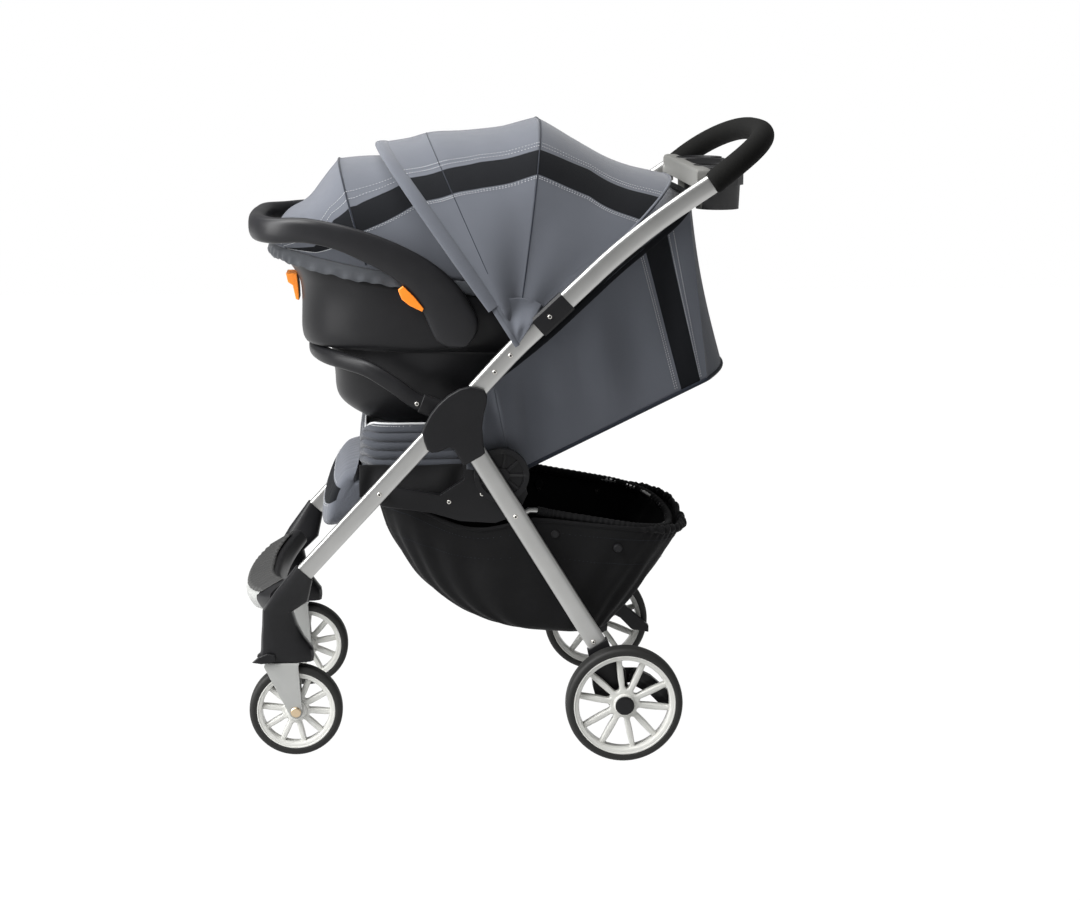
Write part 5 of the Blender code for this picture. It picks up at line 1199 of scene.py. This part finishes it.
def makeBasket():
    finishPiece("basket_cloth", gridPiece(320, 72, basketPoint, (1.25, 0.42)), basketCloth,
                replaced="basket", recalc=False, thick=0.0016)

    def rimAt(v):
        gathered = ease((math.cos(math.tau * v) - 0.4) / 0.3)
        thick = 0.0036 + 0.0028 * gathered + 0.0012 * math.sin(88 * math.tau * v) * gathered
        return basketPoint(v, 0.0) - upward * 0.001, upward, thick, thick * 0.75, 2.0
    finishPiece("basket_rim", tubePiece(420, 14, rimAt, (0.03, 1.25), capped=False), basketCloth)
    hoop = mirrorLine(basket["hoop"])

    def sleeveAt(v):
        v = 0.16 + 0.68 * v
        gather = 0.0005 * math.sin(math.tau * 110 * v)
        return at(*along(hoop, v)), upward, 0.0066 + gather, 0.0062 + gather, 2.0
    finishPiece("basket_hoop_sleeve", tubePiece(420, 14, sleeveAt, (0.04, 0.8)), basketCloth)
    makeEyelets()
    stitchRows("basket_seams", basketPoint, [((0.0, v), (1.0, v)) for v in (0.075, 0.2)], look=seamDark,
               flip=-1, pitch=0.005, slot="black_cloth")
    snaps = bmesh.new()
    for x, z in basket["snaps"]:
        for side, sign in sides:
            spot, out = at(x, sign * 0.1962, z), sideways * sign
            addRod(snaps, spot - out * 0.004, spot + out * 0.0012, 0.0072, 24, 0.006)
    finishPiece("basket_snaps", snaps, blackPlastic, bevelled=0.0006)


makeBasket()
print("pads and basket made")


# infant carrier: shell, liner, hood and handle

carrier = {
    # levels from the foot up: front x and z, rear x and z, half the width and how far the sides dip
    "levels": [(-0.36, 0.508, -0.17, 0.506, 0.07, 0.0), (-0.405, 0.522, -0.105, 0.526, 0.115, 0.0),
               (-0.445, 0.552, -0.055, 0.56, 0.143, 0.0), (-0.452, 0.597, -0.035, 0.605, 0.167, 0.0),
               (-0.458, 0.6452, -0.028, 0.635, 0.1778, 0.0), (-0.4975, 0.6457, -0.027, 0.64, 0.178, 0.0),
               (-0.503, 0.665, -0.025, 0.66, 0.186, 0.005), (-0.506, 0.745, -0.022, 0.698, 0.189, 0.015),
               (-0.547, 0.797, -0.015, 0.738, 0.181, 0.02)],
    "wall": 0.006, "liner": 0.018, "pivot": (-0.261, 0.689), "armY": 0.202, "armDepth": 0.017, "power": 2.7,
    # the liner's roll over the rim and its skirt: share, height over the rim and how far in
    "roll": [(0.55, 0.007, 0.02), (0.62, 0.0112, 0.012), (0.68, 0.012, 0.004), (0.74, 0.0085, -0.003),
             (0.79, 0.002, -0.0062), (0.9, -0.0062, -0.0082), (0.97, -0.0092, -0.0072),
             (1.0, -0.009, -0.0052)],
}


def levelAt(spot):
    # a level of the shell, curved below the waist and above it, straight across the step between
    rows = carrier["levels"]
    i = min(int(spot), len(rows) - 2)
    if i == 4:
        return [p + (q - p) * (spot - i) for p, q in zip(rows[4], rows[5])]
    first, group = (0, rows[:5]) if i < 4 else (5, rows[5:])
    return along(group, (spot - first) / (len(group) - 1))


def shellRow(turn, spot, inset=0.0, narrow=1.0, rise=(0.0, 0.0)):
    # turn runs round the shell at one level, rise lifts the level's front and rear
    frontX, frontZ, rearX, rearZ, half, dip = levelAt(spot)
    front, rear = Vector((frontX, frontZ + rise[0])), Vector((rearX, rearZ + rise[1]))
    reach = (rear - front) / 2
    a, b = oval(turn, reach.length - inset, half * narrow - inset, carrier["power"])
    share = a / reach.length
    point = (front + rear) / 2 + reach * share
    return at(point.x, b, point.y - dip * (1 - share * share))


def shellPoint(u, v):
    # v: up the outside from under the seat, over the rim and down the inside
    turn = math.tau * u
    if v < 0.06:
        return at(-0.265, 0, 0.507).lerp(shellRow(turn, 0.0), v / 0.06)
    if v < 0.80:
        return shellRow(turn, (v - 0.06) / 0.74 * 8)
    if v < 0.84:
        return shellRow(turn, 8.0, carrier["wall"] * (v - 0.80) / 0.04)
    share = (v - 0.84) / 0.16
    return shellRow(turn, 8.0 - 2.0 * share, carrier["wall"] + 0.001 * share)


def linerPoint(u, v):
    # v: from inside the bucket up to the roll over the rim, then down the outside as a gathered skirt
    turn, raised = math.tau * u, (0.016, 0.016)
    thick = carrier["wall"] + 0.0032 + carrier["liner"]
    if v < 0.12:
        return at(-0.25, 0, 0.572).lerp(shellRow(turn, 2.0, thick, 0.8, raised), v / 0.12)
    if v < 0.55:
        share = (v - 0.12) / 0.43
        quilt = 0.0022 * math.sin(26 * u * math.pi) * math.sin(math.pi * share)
        inset = thick * (1 - 0.25 * ease((share - 0.8) / 0.2)) + quilt
        return shellRow(turn, 2.0 + 5.8 * share, inset, 0.8 + 0.2 * ease(share * 4), raised)
    rise, inset = (between([(row[0], row[index]) for row in carrier["roll"]], v) for index in (1, 2))
    skirt = ease((v - 0.76) / 0.2)
    gather = math.sin(58 * math.tau * u + 2.2 * math.sin(7 * math.tau * u)) * skirt
    deeper = 0.003 * skirt * ease((0.15 - math.cos(turn)) / 0.5)
    point = shellRow(turn, 8.0, inset - 0.0014 * gather, 1.0, (rise - deeper, rise - deeper * 0.3))
    point.z += 0.0012 * gather + 0.001 * math.sin(23 * math.tau * u) * skirt
    return point


hood = {
    # from the head end back: the foot's x, then the ridge's x and z
    "rows": [(-0.52, -0.549, 0.811), (-0.498, -0.529, 0.844), (-0.47, -0.496, 0.866),
             (-0.435, -0.468, 0.896),
             (-0.395, -0.44, 0.933), (-0.35, -0.38, 0.935), (-0.305, -0.325, 0.942), (-0.26, -0.27, 0.946),
             (-0.215, -0.217, 0.935)],
    "rise": 0.0106, "power": 2.4, "stitches": (0.291, 0.282, 0.409, 0.418),
    "bandLow": [(0.0, 0.004), (0.25, 0.02), (0.463, 0.075), (0.55, 0.1), (0.738, 0.18), (1.0, 0.25)],
    "bandHigh": [(0.0, 0.012), (0.25, 0.05), (0.4, 0.155), (0.537, 0.18), (0.625, 0.23), (0.7, 0.26),
                 (1.0, 0.33)],
}


def hoodPoint(u, share):
    # u from the head end back, share from the left foot over to the right
    foot, topX, topZ = along(hood["rows"][:5], u * 2) if u <= 0.5 else along(hood["rows"][4:], u * 2 - 1)
    frontX, frontZ, rearX, rearZ, half, dip = carrier["levels"][-1]
    s = (foot - (frontX + rearX) / 2) / ((rearX - frontX) / 2)
    footZ = frontZ + (rearZ - frontZ) * (s + 1) / 2 - dip * (1 - s * s) + hood["rise"]
    footY = half * (1 - abs(s) ** carrier["power"]) ** (1 / carrier["power"])
    turn = math.pi * share
    y, lift = oval(turn, -footY, 1.0, hood["power"])
    crease = 0.0014 * math.sin(31 * u + 5 * turn) * math.sin(turn) * (1 - abs(2 * u - 1) ** 6)
    return at(foot + (topX - foot) * lift, y + crease * math.cos(turn),
              footZ + (topZ - footZ + crease) * lift)


def hoodSheet(u, v):
    return hoodPoint(u, bandShare(v, between(hood["bandLow"], u), between(hood["bandHigh"], u)))


def hoodSeam(u):
    def pointAt(v):
        return hoodPoint(u, 0.004 + 0.992 * v) + upward * 0.0004
    return pointAt


# one half of the handle's line, from below its pivot to the middle: x, y, z and half the width
handle = [(-0.2442, 0.202, 0.657, 0.005), (-0.2458, 0.202, 0.66, 0.015), (-0.249, 0.202, 0.6661, 0.0255),
          (-0.254, 0.202, 0.6757, 0.0333), (-0.261, 0.202, 0.689, 0.0365), (-0.282, 0.202, 0.729, 0.034),
          (-0.312, 0.202, 0.762, 0.029), (-0.348, 0.202, 0.787, 0.025), (-0.392, 0.201, 0.808, 0.0225),
          (-0.44, 0.198, 0.825, 0.0195), (-0.49, 0.188, 0.834, 0.019), (-0.536, 0.164, 0.832, 0.02),
          (-0.562, 0.12, 0.833, 0.0205), (-0.569, 0.06, 0.835, 0.018), (-0.57, 0.0, 0.836, 0.0175)]


def handleAt(v):
    rows = mirrorLine(handle)
    x, y, z, halfWidth = along(rows, v)
    ahead = Vector(along(rows, min(v + 0.01, 1))[:3]) - Vector(along(rows, max(v - 0.01, 0))[:3])
    level = squareTo(ahead)
    if level.z < 0:
        level.negate()
    if level.length < 0.25 * ahead.length:
        level = upward
    share = clamp((0.19 - abs(y)) / 0.06)
    width = level.normalized() * (1 - share) + upward * share
    return at(x, y, z), width, halfWidth, carrier["armDepth"] / 2 + 0.005 * clamp((0.196 - abs(y))
                                                                                  / 0.05), 2.7


def makeCarrier():
    shell = gridPiece(160, 150, shellPoint, (1.0, 0.5))
    x, z = carrier["pivot"]
    for side, sign in sides:
        # the boss that the handle turns on
        face = carrier["armY"] - carrier["armDepth"] / 2 - 0.0004
        addRod(shell, at(x, sign * 0.175, z), at(x, sign * face, z), 0.028, 48)
    finishPiece("carrier_moulded_shell", shell, blackPlastic, "carrier", "carrier_shell", sharp=34,
                recalc=False)
    liner = finishPiece("carrier_padded_liner", gridPiece(420, 90, linerPoint, (1.2, 0.4)), linerCloth,
                        "carrier", "carrier_liner", sharp=60, recalc=False)
    cloth = gridPiece(110, 120, hoodSheet, (0.42, 0.62))
    paintFaces(cloth, 1, 0.62, inBand)
    clothPiece("carrier_hood_cloth", cloth, banded, "carrier", "carrier_canopy")
    stitchRows("carrier_hood_stitches", hoodSheet, bothSides(hood["stitches"], 0.02, 0.995), "carrier")
    for index, (u, radius) in enumerate(((0.0, 0.003), (0.5, 0.0016), (1.0, 0.0032))):
        edge = evenTube(90, 12, (0.02, 0.6), hoodSeam(u), Vector((1, 0, 0)), radius)
        finishPiece(f"carrier_hood_edge_{index}", edge, seamDark if u == 0.5 else greyCloth, "carrier")
    arm = tubePiece(240, 44, handleAt, (0.12, 1.3))
    finishPiece("carrier_handle_bow", arm, darkGloss, "carrier_handle_body", "carrier_handle", sharp=50)


makeCarrier()


# footrest with its ribbed mat

footrest = {"end": 0.1859, "darkFrom": 0.15, "darkBack": 0.3, "matHalf": 0.16, "matRibs": 17}


def footrestAt(v):
    y = footrest["end"] * (2 * v - 1)
    share = min(abs(y) / 0.19, 1.12)
    centre = at(-0.571 + 0.04 * share ** 2.4, y, 0.237 + 0.026 * share ** 2.2)
    return centre, heading(24 + 8 * share), 0.0315 - 0.008 * share ** 3, 0.021 - 0.006 * share ** 2, 3.2


def matPoint(u, v):
    # u across the mat front to back, v along it; ribs run front to back
    y = footrest["matHalf"] * (2 * v - 1)
    centre, ahead, halfWidth, halfHeight, power = footrestAt((y / footrest["end"] + 1) / 2)
    rib = abs(math.sin(math.pi * v * footrest["matRibs"])) ** 0.6 * min(1.0, 12 * min(u, 1 - u),
                                                                        30 * min(v, 1 - v))
    height = halfHeight * 0.985 + 0.0008 + 0.0034 * rib
    return centre + squareTo(ahead) * height + ahead * halfWidth * (1.5 * u - 0.72)


def isDark(around, face):
    # the footrest's black part: its two ends and its back edge
    atEnd = abs(face.calc_center_median().y) > footrest["darkFrom"]
    return atEnd or math.cos(math.tau * around) > footrest["darkBack"]


def makeFootrest():
    bow = tubePiece(80, 40, footrestAt, (0.12, 0.4))
    paintFaces(bow, 0, 0.12, isDark)
    finishPiece("footrest_bow", bow, [greyPlastic, blackPlastic], replaced="footrest")
    finishPiece("footrest_ribbed_mat", gridPiece(10, 360, matPoint, (0.05, 0.32)), matRubber,
                replaced="footrest_mat", recalc=False, thick=0.0014, sharp=60)


makeFootrest()


# tray: dark cups in its holes

tray = {"x": 0.157, "y": 0.108, "radius": 0.0337, "bottom": 0.861, "top": 0.9262}


def makeTray():
    radius, bottom, top = tray["radius"], tray["bottom"], tray["top"]
    profile = [(0.0, bottom), (radius - 0.0042, bottom), (radius - 0.0016, bottom + 0.012),
               (radius - 0.0006, top - 0.004), (radius + 0.003, top + 0.0008),
               (radius + 0.0045, top + 0.0004)]
    bm = bmesh.new()
    for side, sign in sides:
        mergeInto(bm, spunRing(profile, at(tray["x"], sign * tray["y"], 0), 56, (0, 0, 1), closed=False))
    finishPiece("tray_cup_linings", bm, blackPlastic, "upper_frame", slot="grey_plastic", thick=0.0008)


makeTray()
print("carrier and small parts made")
